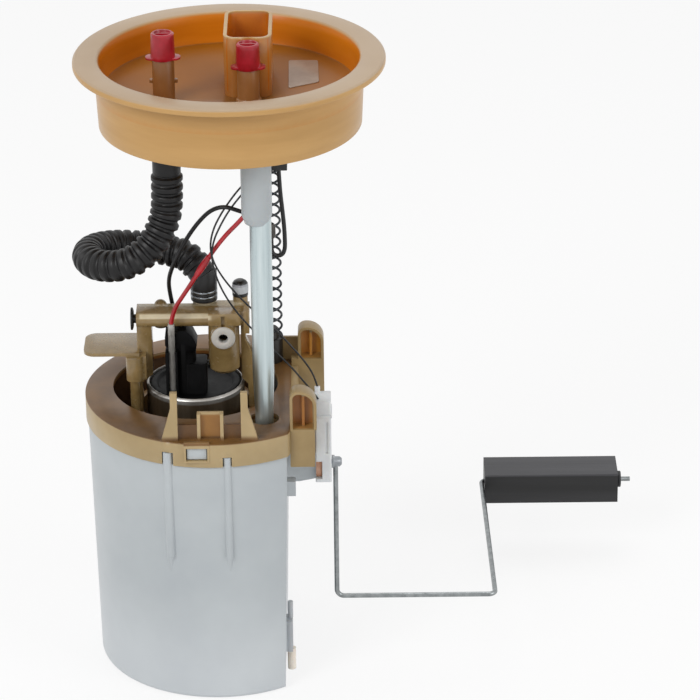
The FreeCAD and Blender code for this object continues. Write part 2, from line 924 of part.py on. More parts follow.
def make_cup():
    edge = d.cup_foot_edge
    neck = d.cup_top_radius - d.cup_neck_step
    outside = turned("cup_outside", [
        (0, 0), (d.cup_base_radius - edge, 0), (cup_radius_at(edge), edge, edge),
        (d.cup_top_radius, d.cup_shoulder), (neck, d.cup_shoulder), (neck, d.cup_top), (0, d.cup_top)])
    above = d.cup_top + OVER
    inside = turned("cup_inside", [
        (0, d.cup_floor), (cup_radius_at(d.cup_floor) - d.cup_wall, d.cup_floor),
        (neck - d.cup_wall, d.cup_shoulder - d.neck_slope), (neck - d.cup_wall, above), (0, above)])
    beyond = d.cup_flat_top + d.flat_allowance
    shell_round = d_solid("cup_shell", outside, d.cup_top_radius, beyond, d.corner_radius)
    shell = cut("cup_shell_drafted", shell_round, beyond_flat("cup_flat_side", as_size(0)))
    hollow_round = d_solid("cup_hollow", inside, neck - d.cup_wall, beyond - d.cup_wall,
                           d.corner_radius - d.cup_wall)
    hollow = cut("cup_hollow_drafted", hollow_round, beyond_flat("cup_flat_inside", d.cup_wall))
    ribs = []
    for side, x, radius, rise in (("left", d.left_rib_x, d.left_rib_radius, d.left_slot_rise),
                                  ("right", d.right_rib_x, d.right_rib_radius, d.right_slot_rise)):
        y = -root(d.cup_top_radius * d.cup_top_radius - x * x) + d.rib_sink
        top = d.ring_bottom + rise - d.rib_gap - d.rib_bottom - d.rib_taper
        ribs.append(cylinder(f"{side}_rib", radius, top, x, y, d.rib_bottom + d.rib_taper))
        ribs.append(cone(f"{side}_rib_foot", d.rib_tip, radius, d.rib_taper, x, y + d.rib_lean, d.rib_bottom))
    lug_front = -(d.cup_top_radius - d.cup_neck_step + d.lug_depth - d.lug_sink)
    lug_low = d.ring_bottom + d.lug_rise_above_ring
    lug_half = d.lug_width / 2
    lug = block("cup_lug", d.lug_x - lug_half, d.lug_x + lug_half, lug_front, lug_front + d.lug_root, lug_low,
                lug_low + d.lug_height)
    web_left = d.cup_flat_foot
    web_low = d.sender_bottom - d.web_drop
    web_top = d.bracket_low - d.seat_gap
    arm = standing("sender_arm", "XZ_Plane", [
        (web_left, web_top), (web_left, web_low), (d.flat_offset + d.web_level, web_low),
        (d.sender_left, d.sender_bottom), (d.sender_left, web_top)], d.web_thickness, 0, d.sender_y, 0)
    hook = block("cup_hook", web_left, d.flat_offset + d.hook_reach, d.hook_front, d.hook_front + d.hook_depth,
                 web_low, web_low + d.hook_height)
    pad = block("jet_pad", web_left - d.pad_sink, d.cup_flat_foot + d.pad_depth, d.jet_y - d.jet_width / 2,
                d.jet_y + d.jet_width / 2, d.jet_low, d.jet_high)
    solid = fuse("cup_with_ribs", shell, *ribs, lug, arm, hook, pad)
    return keep("reservoir_cup", cut("reservoir_cup", solid, hollow))


# Lid ring

def make_ring():
    low, high = d.ring_bottom, d.ring_top
    outside = cylinder("ring_outside", d.ring_radius, high - low, 0, 0, low)
    disc = d_solid("ring_disc", outside, d.ring_radius, d.flat_offset + d.ring_flat_step, d.corner_radius)
    hollow_round = cylinder("ring_hollow_round", d.ring_bore, d.cup_top - low + OVER, 0, 0, low - OVER)
    hollow_flat = d.cup_flat_top + d.seat_gap
    hollow = d_solid("ring_hollow", hollow_round, d.ring_bore, hollow_flat, d.corner_radius - d.cup_wall)
    opening = cylinder("ring_opening", d.opening_radius, FAR, d.pump_x, d.pump_y, low)
    guide_hole = cylinder("ring_guide_hole", d.guide_hole_radius, FAR, d.guide_x, d.guide_y, low)
    window_half = d.lug_width / 2 + d.window_gap
    window_low = low + d.window_low
    window = block("ring_window", d.lug_x - window_half, d.lug_x + window_half, -d.ring_radius - OVER,
                   -d.ring_bore + 3 * OVER, window_low, window_low + d.lug_height + 2 * d.window_gap)
    border_half = d.lug_width / 2 + d.window_border
    border = block("ring_border", d.lug_x - border_half, d.lug_x + border_half, -d.ring_radius - d.border_reach,
                   -d.ring_bore - d.cap_fit, low + d.border_low, high + d.border_rise)
    slots = []
    for side, x, radius, rise in (("left", d.left_rib_x, d.left_rib_radius, d.left_slot_rise),
                                  ("right", d.right_rib_x, d.right_rib_radius, d.right_slot_rise)):
        half = radius + d.rib_gap
        slots.append(block(f"ring_{side}_slot", x - half, x + half, -d.ring_radius - OVER,
                           -d.ring_bore + 6 * OVER, low - OVER, low + rise))
    towers = []
    for side, x, lean in (("left", d.left_post_x, -1), ("right", d.right_post_x, 1)):
        half = d.post_width / 2
        foot = x + (half + d.gusset_width) * lean
        near, far = x + half * lean, x - half * lean
        points = [(far, high - SINK), (foot, high - SINK), (near, high + d.gusset_height),
                  (near, high + d.post_height), (far, high + d.post_height)]
        towers.append(standing(f"ring_{side}_post", "XZ_Plane", points, d.post_depth, 0, d.post_y, 0))
    fence_y = d.post_y + d.post_depth / 2
    fence_back = fence_y + d.fence_wall
    fence = block("ring_fence", d.left_post_x, d.right_post_x, fence_y, fence_back, high - SINK,
                  high + d.fence_height)
    left = d.lug_x + d.bracket_shift - d.bracket_width / 2
    right = left + d.bracket_width
    bracket_top = high + d.bracket_height
    panel = block("ring_bracket_panel", left, right, fence_y, fence_back, high - SINK, bracket_top)
    cheeks = []
    for side, x in (("left", left), ("right", right - d.cheek_width)):
        cheeks.append(block(f"ring_bracket_{side}", x, x + d.cheek_width, fence_y - d.cheek_depth,
                            fence_back - SINK, high - SINK, bracket_top))
    solid = fuse("ring_with_posts", disc, border, *towers, fence, panel, *cheeks)
    return keep("lid_ring", cut("lid_ring", solid, hollow, opening, guide_hole, window, *slots))


def make_guide_socket():
    """Guide tube below the lid: a clear bore, and a close bore for the rod at its foot."""
    wide = d.guide_hole_radius
    close = d.rod_radius + d.running_gap
    bush_top = d.bush_bottom + d.bush_height
    shoulder = d.socket_step + d.socket_shoulder
    socket = turned("guide_socket", [
        (close, d.bush_bottom), (d.socket_slim_radius, d.bush_bottom), (d.socket_slim_radius, d.socket_step),
        (d.socket_tube_radius, shoulder), (d.socket_tube_radius, d.cup_top), (wide, d.cup_top),
        (wide, shoulder), (d.socket_slim_bore, d.socket_step), (d.socket_slim_bore, d.socket_narrow_top),
        (close, bush_top)], d.guide_x, d.guide_y, 0)
    return keep("guide_socket", socket)


# Pump

def make_casing():
    bore = d.casing_bore
    casing = turned("pump_casing", [
        (bore - d.crimp, d.casing_bottom), (d.casing_radius - d.crimp, d.casing_bottom),
        (d.casing_radius, d.casing_bottom + d.crimp), (d.casing_radius, d.casing_top - d.crimp),
        (d.casing_radius - d.crimp, d.casing_top), (bore, d.casing_top),
        (bore, d.casing_bottom + d.crimp_thickness), (bore - d.crimp, d.casing_bottom + d.crimp_thickness)],
        d.pump_x, d.pump_y, 0)
    return keep("pump_casing", casing)


def make_end_cap():
    """Black end cap with the bearing bore, the hooded outlet tower and two terminal blocks."""
    top, low = d.cap_top, d.cap_bottom
    bore = d.shaft_radius + d.running_gap
    edge = d.casing_bore - d.cap_fit
    bearing = bore + d.bearing_wall
    sunk = top - d.cap_rim
    disc = turned("end_cap_disc", [
        (0, low + d.bearing_bore_depth), (bore, low + d.bearing_bore_depth), (bore, low - d.bearing_depth),
        (bearing, low - d.bearing_depth), (bearing + d.cap_rim, low), (edge, low), (edge, sunk),
        (edge - d.cap_rim, top), (edge - d.cap_rim_width, top),
        (edge - d.cap_rim_width - d.cap_rim, sunk), (0, sunk)], d.pump_x, d.pump_y, 0)
    foot = sunk - d.tower_sink
    hood_top = top + d.hood_rise
    x, y, radius = d.tower_x, d.tower_y, d.tower_radius
    tower_top = top + d.tower_height
    tower = cylinder("end_cap_tower", radius, tower_top - foot, x, y, foot)
    left, right = x - radius - d.hood_left, x + radius + d.hood_right
    bevel = hood_top - d.hood_bevel
    hood = standing("end_cap_hood", "XZ_Plane", [
        (x - radius, tower_top - d.hood_overlap), (x + radius, tower_top - d.hood_overlap),
        (right, hood_top - d.hood_side), (x + radius - d.hood_bevel_width, bevel), (x + d.hood_crown, hood_top),
        (x - d.hood_crown, hood_top), (left, bevel), (left, hood_top - d.hood_side)], d.hood_depth, 0, y, 0)
    side_block = block("end_cap_side_block", x, d.side_block_right, y - d.side_block_depth / 2,
                       y + d.side_block_depth / 2, foot, top + d.side_block_rise)
    side_round = rounded("end_cap_side", side_block, d.side_block_round, is_upright)
    neck_low = hood_top - d.neck_sink
    neck = cylinder("end_cap_neck", d.neck_radius, d.bar_under - neck_low, d.neck_x, d.neck_y, neck_low)
    neck_seat = block("end_cap_neck_seat", d.neck_x - d.neck_radius, d.neck_x + d.neck_radius, y, d.neck_y,
                      neck_low, neck_low + d.neck_seat_height)
    blocks = []
    for side, terminal_y, inwards in (("front", d.terminal_front_y, 1), ("back", d.terminal_back_y, -1)):
        block_right = d.terminal_x + d.terminal_width / 2 + d.block_margin
        near = terminal_y - d.block_inset * inwards
        far = terminal_y + (d.terminal_block_depth - d.block_inset) * inwards
        y_low, y_high = (near, far) if inwards > 0 else (far, near)
        blocks.append(block(f"end_cap_{side}_block", block_right - d.terminal_block_width, block_right,
                            y_low, y_high, foot, top + d.terminal_block))
    brush_low = d.brush_middle - d.brush_height / 2
    near, far, half = d.brush_holder_near, d.brush_holder_far, d.brush_width / 2
    wide = d.pump_y + half + d.brush_holder_side
    narrow = d.pump_y - half - d.brush_holder_side
    holders = []
    for side, start, end in (("left", -far, -near), ("right", near, far)):
        holders.append(block(f"end_cap_{side}_brush_holder", d.pump_x + start, d.pump_x + end, narrow, wide,
                             brush_low - d.brush_holder_wall, low + OVER))
    solid = fuse("end_cap_solid", disc, tower, hood, side_round, neck, neck_seat, *blocks, *holders)
    reach = d.commutator_radius + d.brush_length + 2 * OVER
    brush_space = block("end_cap_brush_space", d.pump_x - reach, d.pump_x + reach, d.pump_y - half,
                        d.pump_y + half, brush_low, brush_low + d.brush_height)
    slots = []
    half_width, half_thickness = d.terminal_width / 2, d.terminal_thickness / 2
    for side, terminal_y, open_way in (("front", d.terminal_front_y, -1), ("back", d.terminal_back_y, 1)):
        deep = terminal_y - half_thickness * open_way
        outside = terminal_y + d.terminal_block_depth * open_way
        y_low, y_high = (outside, deep) if open_way < 0 else (deep, outside)
        slots.append(block(f"end_cap_{side}_slot", d.terminal_x - half_width, d.terminal_x + half_width,
                           y_low, y_high, top + d.terminal_foot, top + d.terminal_height))
    return keep("pump_end_cap", cut("pump_end_cap", solid, brush_space, *slots))


def make_terminals():
    half_width, half_thickness = d.terminal_width / 2, d.terminal_thickness / 2
    blade_low, blade_high = d.cap_top + d.terminal_foot, d.cap_top + d.terminal_height
    for side, y in (("positive", d.terminal_front_y), ("negative", d.terminal_back_y)):
        blade = block(f"{side}_blade", d.terminal_x - half_width, d.terminal_x + half_width, y - half_thickness,
                      y + half_thickness, blade_low, blade_high)
        crimp = cylinder(f"{side}_crimp", d.crimp_radius, d.crimp_length, d.terminal_x, y,
                         blade_high - d.crimp_overlap)
        keep(f"{side}_terminal", fuse(f"{side}_terminal", blade, crimp))


def make_inlet_cover():
    """Bottom cover of the pump chamber with the suction nipple."""
    edge = d.casing_bore - d.cap_fit
    low = d.casing_bottom + d.crimp_thickness
    outer = d.inlet_nipple_radius
    bore = outer - d.inlet_wall
    nipple_low = d.casing_bottom - d.inlet_nipple_length
    cover = turned("pump_inlet_cover", [
        (bore, nipple_low), (outer, nipple_low), (outer, d.casing_bottom - OVER),
        (outer + d.inlet_flare, low), (edge, low), (edge, d.inlet_top), (bore, d.inlet_top)],
        d.pump_x, d.pump_y, 0)
    return keep("pump_inlet_cover", cover)


def make_rotor():
    """Shaft, slotted armature, commutator and vaned impeller, which turn together."""
    x, y = d.pump_x, d.pump_y
    shaft_low = d.impeller_bottom + d.cap_fit
    shaft_high = d.cap_bottom + d.bearing_bore_depth - d.shaft_stop
    shaft = cylinder("pump_shaft", d.shaft_radius, shaft_high - shaft_low, x, y, shaft_low)
    keep("pump_shaft", shaft)

    body = doc.addObject("PartDesign::Body", "pump_armature")
    sketch = outline(body, "XZ_Plane", [
        (d.shaft_radius, d.armature_bottom), (d.armature_radius, d.armature_bottom),
        (d.armature_radius, d.armature_top), (d.shaft_radius, d.armature_top)], "armature_profile")
    turn = body.newObject("PartDesign::Revolution", "armature_turn")
    turn.Profile = sketch
    turn.ReferenceAxis = (sketch, ["V_Axis"])
    turn.Angle = 360
    slot = outline(body, "XY_Plane", [
        (d.armature_radius - d.slot_depth, -d.slot_width / 2), (d.armature_radius + OVER, -d.slot_width / 2),
        (d.armature_radius + OVER, d.slot_width / 2), (d.armature_radius - d.slot_depth, d.slot_width / 2)],
        "armature_slot_outline")
    pocket = body.newObject("PartDesign::Pocket", "armature_slot")
    pocket.Profile = slot
    pocket.Type = "ThroughAll"
    pocket.Reversed = True
    pattern = body.newObject("PartDesign::PolarPattern", "armature_slots")
    pattern.Originals = [pocket]
    pattern.Axis = (slot, ["N_Axis"])
    pattern.Angle = 360
    pattern.Occurrences = int(d.armature_slots.number)
    pattern.setExpression("Occurrences", d.armature_slots.text)
    body.Tip = pattern
    keep("pump_armature", move_to(body, x, y, 0))

    collar = d.commutator_radius + d.commutator_collar
    collar_top = d.commutator_bottom + d.commutator_collar
    commutator_top = d.commutator_bottom + d.commutator_length
    commutator = turned("commutator", [
        (d.shaft_radius, d.commutator_bottom), (collar, d.commutator_bottom), (collar, collar_top),
        (d.commutator_radius, collar_top), (d.commutator_radius, commutator_top),
        (d.shaft_radius, commutator_top)], x, y, 0)
    keep("commutator", commutator)

    disc = turned("impeller_disc", [
        (d.shaft_radius, d.impeller_bottom), (d.impeller_radius, d.impeller_bottom),
        (d.impeller_radius, d.impeller_top), (d.shaft_radius, d.impeller_top)], x, y, 0)
    vane_gaps = []
    gap_count = 18
    for number in range(gap_count):
        turned_by = math.tau / gap_count * number
        gap = doc.addObject("Part::Box", f"vane_gap_{number}")
        set_sizes(gap, Length=d.vane_gap_length, Width=d.vane_gap_width, Height=d.impeller_thickness + 2 * OVER)
        direction = Rotation(Vector(0, 0, 1), math.degrees(turned_by))
        inner = d.impeller_radius - d.vane_gap_depth
        side_way = -d.vane_gap_width / 2
        across, along = round(math.cos(turned_by), 6), round(math.sin(turned_by), 6)
        move_to(gap, x + inner * across - side_way * along, y + inner * along + side_way * across,
                d.impeller_bottom - OVER, direction)
        vane_gaps.append(gap)
    keep("impeller", cut("impeller", disc, *vane_gaps))


def make_stator():
    x, y = d.pump_x, d.pump_y
    edge = d.casing_bore - d.cap_fit
    bore = d.shaft_radius + d.running_gap
    bearing = bore + d.bearing_wall
    bearing_top = d.chamber_top + d.bearing_wall
    chamber = turned("pump_chamber_plate", [
        (bore, d.chamber_bottom), (edge, d.chamber_bottom), (edge, d.chamber_top),
        (bearing + OVER, d.chamber_top), (bearing, bearing_top), (bore, bearing_top)], x, y, 0)
    keep("pump_chamber_plate", chamber)
    outer = d.casing_bore - d.magnet_fit
    ring = turned("magnet_ring", [
        (outer - d.magnet_thickness, d.armature_bottom), (outer, d.armature_bottom),
        (outer, d.armature_top), (outer - d.magnet_thickness, d.armature_top)], x, y, 0)
    shells = []
    far = d.casing_radius + OVER
    for side, start, end in (("left", -far, as_size(-OVER)), ("right", as_size(OVER), far)):
        limit = block(f"{side}_magnet_limit", x + start, x + end, y - d.magnet_half_width,
                      y + d.magnet_half_width, d.armature_bottom - OVER, d.armature_top + OVER)
        shells.append(common(f"{side}_magnet", ring, limit))
    keep("pump_magnets", group("pump_magnets", *shells))
    brushes = []
    low = d.brush_middle - d.brush_height / 2
    near = d.commutator_radius + d.brush_gap
    for side, start in (("left", -near - d.brush_length), ("right", near)):
        brushes.append(block(f"{side}_brush", x + start, x + start + d.brush_length, y - d.brush_width / 2,
                             y + d.brush_width / 2, low, low + d.brush_height))
    keep("pump_brushes", group("pump_brushes", *brushes))


def make_holder():
    """Cradle around the pump: it stands on the pot's floor and carries the bridge."""
    x, y = d.pump_x, d.pump_y
    lip = d.holder_outside + d.holder_lip
    lip_low = d.holder_top - d.holder_lip_height
    wall = turned("holder_wall", [
        (d.holder_radius, d.cup_floor), (d.holder_outside, d.cup_floor),
        (d.holder_outside, lip_low - d.holder_lip), (lip, lip_low), (lip, d.holder_top),
        (d.holder_radius, d.holder_top)], x, y, 0)
    boss_low = d.holder_top - d.holder_boss_height
    boss = cylinder("holder_boss", d.boss_radius, d.holder_boss_height, d.boss_x, d.boss_y, boss_low)
    web = block("holder_web", d.boss_x, d.boss_x + d.holder_web_length, d.boss_y - d.holder_web_width / 2,
                d.boss_y + d.holder_web_width / 2, boss_low, d.holder_top)
    solid = fuse("holder_solid", wall, boss, web)
    inside = cylinder("holder_inside", d.holder_radius, d.holder_height, x, y, d.cup_floor)
    half, far, gate_top = d.foot_opening / 2, d.holder_outside + OVER, d.cup_floor + d.foot_window_height
    gates = [block("holder_gate_x", x - far, x + far, y - half, y + half, as_size(0), gate_top),
             block("holder_gate_y", x - half, x + half, y - far, y + far, as_size(0), gate_top)]
    keep("pump_holder", cut("pump_holder", solid, inside, *gates))
    rings = []
    inner, outer = d.casing_radius, d.holder_radius
    for name, low in (("low", d.damper_low), ("high", d.damper_high)):
        high = low + d.damper_height
        rings.append(turned(f"{name}_damper", [
            (inner, low), (outer, low), (outer, high), (inner, high)], x, y, 0))
    keep("pump_dampers", group("pump_dampers", *rings))


def make_strainer():
    """Filter sock on the suction nipple."""
    low = d.casing_bottom - d.inlet_nipple_length
    top = low + d.sock_collar
    sock_top = low + OVER
    sock_low = sock_top - d.sock_height
    collar = d.inlet_nipple_radius + d.sock_collar_wall
    third = d.sock_height / 3
    rim = d.sock_radius - third
    sock = turned("pump_strainer", [
        (0, sock_low), (rim, sock_low), (d.sock_radius, sock_low + third), (d.sock_radius, sock_top - third),
        (rim, sock_top), (collar, sock_top), (collar, top), (d.inlet_nipple_radius, top),
        (d.inlet_nipple_radius, low), (0, low)], d.pump_x, d.pump_y, 0)
    return keep("pump_strainer", sock)


# Bridge over the pump

def make_bridge():
    """Shelf with the pipe under its front edge, two legs, post, paddle, valve housing, riser and stub."""
    top, under = d.bar_top, d.bar_under
    shelf = block("bridge_shelf", d.bar_left, d.bar_right, d.bar_front, d.bar_back, under, top)
    tube_y = d.bar_front + d.bar_tube_radius - d.pipe_front
    tube_z = under - d.pipe_drop
    pipe = cylinder("bridge_pipe", d.bar_tube_radius, d.bar_right - d.bar_left, d.bar_left, tube_y, tube_z,
                    ALONG_X)
    lip = block("bridge_lip", d.bar_right - SINK, d.bar_right + d.lip_width, d.bar_front - d.lip_front,
                d.bar_back, top - d.lip_drop, top + d.lip_rise)
    step = d.holder_top + d.leg_step_height
    leg_y = d.pump_y - d.leg_depth / 2
    left_foot = d.pump_x - d.holder_outside
    left_inner = d.bar_left + d.leg_width
    left_leg = standing("bridge_left_leg", "XZ_Plane", [
        (left_foot, d.holder_top), (left_foot + d.leg_foot_width, d.holder_top),
        (left_foot + d.leg_foot_width, step), (left_inner, step + d.leg_slope),
        (left_inner, under - d.leg_gusset), (left_inner + d.leg_gusset, under), (d.bar_left, under),
        (d.bar_left, step)], d.leg_depth, 0, leg_y, 0)
    outer = d.right_leg_x + d.right_leg_width
    knee = d.holder_top + d.right_leg_knee
    inner_knee = knee - d.leg_foot_width * 3
    right_leg = standing("bridge_right_leg", "XZ_Plane", [
        (d.right_leg_x, d.holder_top), (outer, d.holder_top), (outer, knee),
        (d.right_leg_top, d.holder_top + d.right_leg_bend), (d.right_leg_top, under),
        (d.right_leg_inner, under), (d.right_leg_inner, inner_knee),
        (d.right_leg_x, inner_knee - d.leg_foot_width)], d.leg_depth, 0, d.pump_y, 0)
    post_foot = d.holder_top + d.boss_lift
    post = cylinder("bridge_post", d.boss_radius, d.boss_height, d.boss_x, d.boss_y, post_foot)
    post_low = cylinder("bridge_post_low", d.boss_low_radius, d.boss_lift, d.boss_x, d.boss_y, d.holder_top)
    tie = block("bridge_post_tie", d.boss_x, d.bar_left + d.leg_slope, d.boss_y, leg_y + OVER, post_foot,
                post_foot + d.boss_height)
    paddle_low = d.holder_top + d.paddle_lift
    paddle_front = d.paddle_y - d.paddle_depth / 2
    paddle = block("bridge_paddle_plate", d.paddle_left, d.bar_left + OVER, paddle_front,
                   paddle_front + d.paddle_depth, paddle_low, paddle_low + d.paddle_thickness)

    def left_corner(edge):
        return is_upright(edge) and edge.BoundBox.XMax < d.paddle_left.number + OVER

    paddle_round = rounded("bridge_paddle", paddle, d.paddle_corner, left_corner)
    dome_low, dome_shoulder = under - d.dome_drop, top - d.dome_shoulder
    dome = turned("bridge_dome", [
        (0, dome_low), (d.dome_radius, dome_low), (d.dome_radius, dome_shoulder),
        (0, dome_shoulder + d.dome_radius, d.dome_radius)], d.dome_x, d.bar_back - d.dome_sink, 0)
    valve_low = under - d.valve_drop
    valve_top = top - d.valve_top
    valve = turned("bridge_valve", [
        (0, valve_low), (d.valve_radius - d.valve_edge, valve_low), (d.valve_radius, valve_low + d.valve_edge),
        (d.valve_radius, valve_top), (0, valve_top)], d.valve_x, 0, 0)
    head = block("bridge_valve_head", d.head_left, d.head_right, d.head_front, as_size(0), top - d.head_drop,
                 top + d.head_rise)
    plug_height = under + d.plug_rise
    face = -d.valve_radius - d.snout_length
    snout = cylinder("bridge_snout", d.plug_radius + d.snout_margin, -face, d.valve_x, face, plug_height,
                     ALONG_Y)
    riser_length = d.bar_plate + d.riser_height
    riser = cylinder("bridge_riser", d.riser_radius, riser_length, d.fitting_x, d.fitting_y, under)
    stub = cylinder("bridge_stub", d.stub_radius, d.bar_plate + d.stub_height, d.stub_x, d.fitting_y, under)
    stub_foot = cylinder("bridge_stub_foot", d.stub_foot_radius, d.bar_plate + d.stub_foot_height, d.stub_x,
                         d.fitting_y, under)
    shelf_back = block("bridge_shelf_back", d.fitting_x - d.shelf_left, d.stub_x + d.shelf_right,
                       d.bar_back - OVER, d.fitting_y + d.shelf_reach, under, top)
    solid = fuse("bridge_solid", shelf, pipe, lip, left_leg, right_leg, post, post_low, tie, paddle_round, dome,
                 valve, head, snout, riser, stub, stub_foot, shelf_back)
    bore = cylinder("bridge_valve_bore", d.valve_bore, d.valve_bore_depth, d.valve_x, face, plug_height,
                    ALONG_Y)
    slit_half = d.head_slit / 2
    slit = block("bridge_head_slit", d.valve_x - slit_half, d.valve_x + slit_half, d.head_front - OVER,
                 d.head_front + d.slit_depth, top - d.head_drop - OVER, top - d.slit_top)
    fuel_way = cylinder("bridge_fuel_way", d.fitting_bore, riser_length + OVER, d.fitting_x, d.fitting_y, under)
    end_hole = cylinder("bridge_end_hole", d.pin_neck_radius, 2 * d.pin_length, d.bar_left, tube_y, tube_z,
                        ALONG_X)
    keep("bridge", cut("bridge", solid, bore, slit, fuel_way, end_hole))
    return plug_height, tube_y


def make_valve_pieces(plug_height):
    """Plug with a hole, pressed in the valve's mouth, and the ball behind it."""
    face = -d.valve_radius - d.snout_length
    shank = d.plug_shank
    shank_radius = d.valve_bore - d.running_gap
    plug_face = shank + d.plug_thickness
    plug = turned("valve_plug", [
        (d.plug_hole, 0), (shank_radius, 0), (shank_radius, shank), (d.plug_radius, shank),
        (d.plug_radius, plug_face - d.plug_edge_height), (d.plug_radius - d.plug_edge, plug_face),
        (d.plug_hole, plug_face)], d.valve_x, face + shank, plug_height, Rotation(Vector(1, 0, 0), 90))
    keep("valve_plug", plug)
    ball_y = face + d.valve_bore_depth - d.ball_radius
    ball = doc.addObject("Part::Sphere", "valve_ball")
    set_sizes(ball, Radius=d.ball_radius)
    keep("valve_ball", move_to(ball, d.valve_x, ball_y, plug_height))


def make_end_pin(tube_y):
    """Headed pin in the left end of the pipe."""
    inside = d.pin_length
    disc = inside + d.pin_neck
    head = disc + d.pin_disc
    pin = turned("bridge_end_pin", [
        (0, 0), (d.pin_neck_radius, 0), (d.pin_neck_radius, disc), (d.pin_disc_radius - d.pin_bevel, disc),
        (d.pin_disc_radius, disc + d.pin_bevel_height), (d.pin_disc_radius, head), (0, head)],
        d.bar_left + inside, tube_y, d.bar_under - d.pipe_drop, Rotation(Vector(0, 1, 0), -90))
    keep("bridge_end_pin", pin)


def make_fittings():
    """Stepped hose fitting with its clamps, and the capped return stub, both standing on the bridge."""
    low = d.bar_top + d.fitting_lift
    wide = d.fitting_radius
    slim = d.fitting_radius - d.fitting_groove
    first, second = low + d.clamp_low, low + d.clamp_high
    fitting_top = d.bar_top + d.fitting_height + d.fitting_overrun
    seat = d.bar_top + d.riser_height + d.seat_gap
    points = [(d.riser_radius, low), (wide, low), (wide, first), (slim, first), (slim, first + d.clamp_width),
              (wide, first + d.clamp_width), (wide, second), (slim, second), (slim, second + d.clamp_width),
              (wide, second + d.clamp_width), (wide, fitting_top), (0, fitting_top), (0, seat),
              (d.riser_radius, seat)]
    body = turned("hose_fitting_body", points, d.fitting_x, d.fitting_y, 0)
    end, before = hose_route()[-1], hose_route()[-2]
    along = (Vector(*before) - Vector(*end)).normalize()
    tilt = Rotation(Vector(0, 0, 1), along)
    above = doc.addObject("Part::Box", "hose_fitting_slant")
    set_sizes(above, Length=2 * FAR, Width=2 * FAR, Height=FAR)
    corner = Vector(*end) - along * d.soft_gap.number + tilt.multVec(Vector(-FAR, -FAR, 0))
    above.Placement = Placement(corner, tilt)
    keep("hose_fitting", cut("hose_fitting", body, above))
    bands = []
    for name, start in (("low", first), ("high", second)):
        end_height = start + d.clamp_width
        outside = wide + d.band_stand
        bands.append(turned(f"{name}_clamp", [
            (slim, start), (outside, start), (outside, end_height), (slim, end_height)],
            d.fitting_x, d.fitting_y, 0))
    keep("hose_clamps", group("hose_clamps", *bands))
    cap_low = d.bar_top + d.stub_foot_height + d.stub_seat_gap
    band_low = cap_low + d.stub_band_low
    band_high = band_low + d.stub_band_width
    stub_top = d.bar_top + d.stub_height
    cap_top = stub_top + d.stub_roof
    outer, groove, dome = d.stub_cap_radius, d.stub_cap_radius - d.stub_groove, d.stub_dome
    dome_edge = dome * d.stub_dome_share
    cap = turned("stub_cap", [
        (d.stub_radius, cap_low), (outer, cap_low), (outer, band_low), (groove, band_low), (groove, band_high),
        (outer, band_high), (outer, cap_top - dome), (outer - dome_edge, cap_top - dome_edge),
        (outer - dome, cap_top), (0, cap_top), (0, stub_top), (d.stub_radius, stub_top)],
        d.stub_x, d.fitting_y, 0)
    keep("stub_cap", cap)
    outside = outer + d.stub_band_stand
    band = turned("stub_band", [
        (groove, band_low), (outside, band_low), (outside, band_high), (groove, band_high)],
        d.stub_x, d.fitting_y, 0)
    keep("stub_band", band)


# Bracket and level sender on the flat side

def arch(name, left, front, low, height):
    """A hollow hood: thin wall, low round on the left, wide round on the right, and one inner rib."""
    width, wall = d.arch_width, d.arch_wall

    def profile(shrink):
        left_round, right_round = d.arch_left_round - shrink, d.arch_right_round - shrink
        right, top = width - shrink, height - shrink
        return [(shrink, 0), (right, 0), (right, top - right_round), (right - right_round, top, right_round),
                (shrink + left_round, top), (shrink, top - left_round, left_round)]

    middle = front + d.arch_depth / 2
    outer = standing(name + "_outer", "XZ_Plane", profile(as_size(0)), d.arch_depth, left, middle, low)
    inner = standing(name + "_inner", "XZ_Plane", profile(wall), d.arch_depth, left, middle - wall, low)
    rib_x = left + width / 2
    rib = block(name + "_rib", rib_x - wall / 2, rib_x + wall / 2, middle, front + d.arch_depth, low,
                low + height - wall)
    return fuse(name, cut(name + "_shell", outer, inner), rib)


def make_bracket():
    """Web on the ring's flat side with a front and a rear block, an arch on each, and the sender's rail."""
    wall_x = d.flat_offset + d.ring_flat_step
    top, low = d.ring_top, d.bracket_low
    front_y, back_y, depth = d.bracket_front_y, d.bracket_back_y, d.arch_depth
    web = block("bracket_web", wall_x, wall_x + d.bracket_web, front_y, back_y, low, top)
    front = block("bracket_front_block", wall_x, d.sender_left, front_y, front_y + depth, low, top)
    rear_top = top + d.rear_block_rise
    rear = block("bracket_rear_block", wall_x, d.rear_block_x + d.arch_width, back_y - depth, back_y,
                 top - d.block_height, rear_top)
    rail = block("bracket_rail", d.sender_left - d.rail_width, d.sender_left, front_y,
                 d.sender_y + d.sender_depth / 2, low, top)
    front_arch = arch("bracket_front_arch", d.front_arch_left, front_y, top - d.arch_sink, d.front_arch_height)
    rear_arch = arch("bracket_rear_arch", d.rear_block_x, back_y - depth, rear_top - d.arch_sink,
                     d.rear_arch_height)
    fence = block("bracket_rear_fence", d.flat_offset - d.rear_fence_left, wall_x + d.rear_fence_right,
                  back_y - d.rear_fence_wall, back_y, top, top + d.rear_fence_height)
    keep("sender_bracket", fuse("sender_bracket", web, front, rear, rail, front_arch, rear_arch, fence))


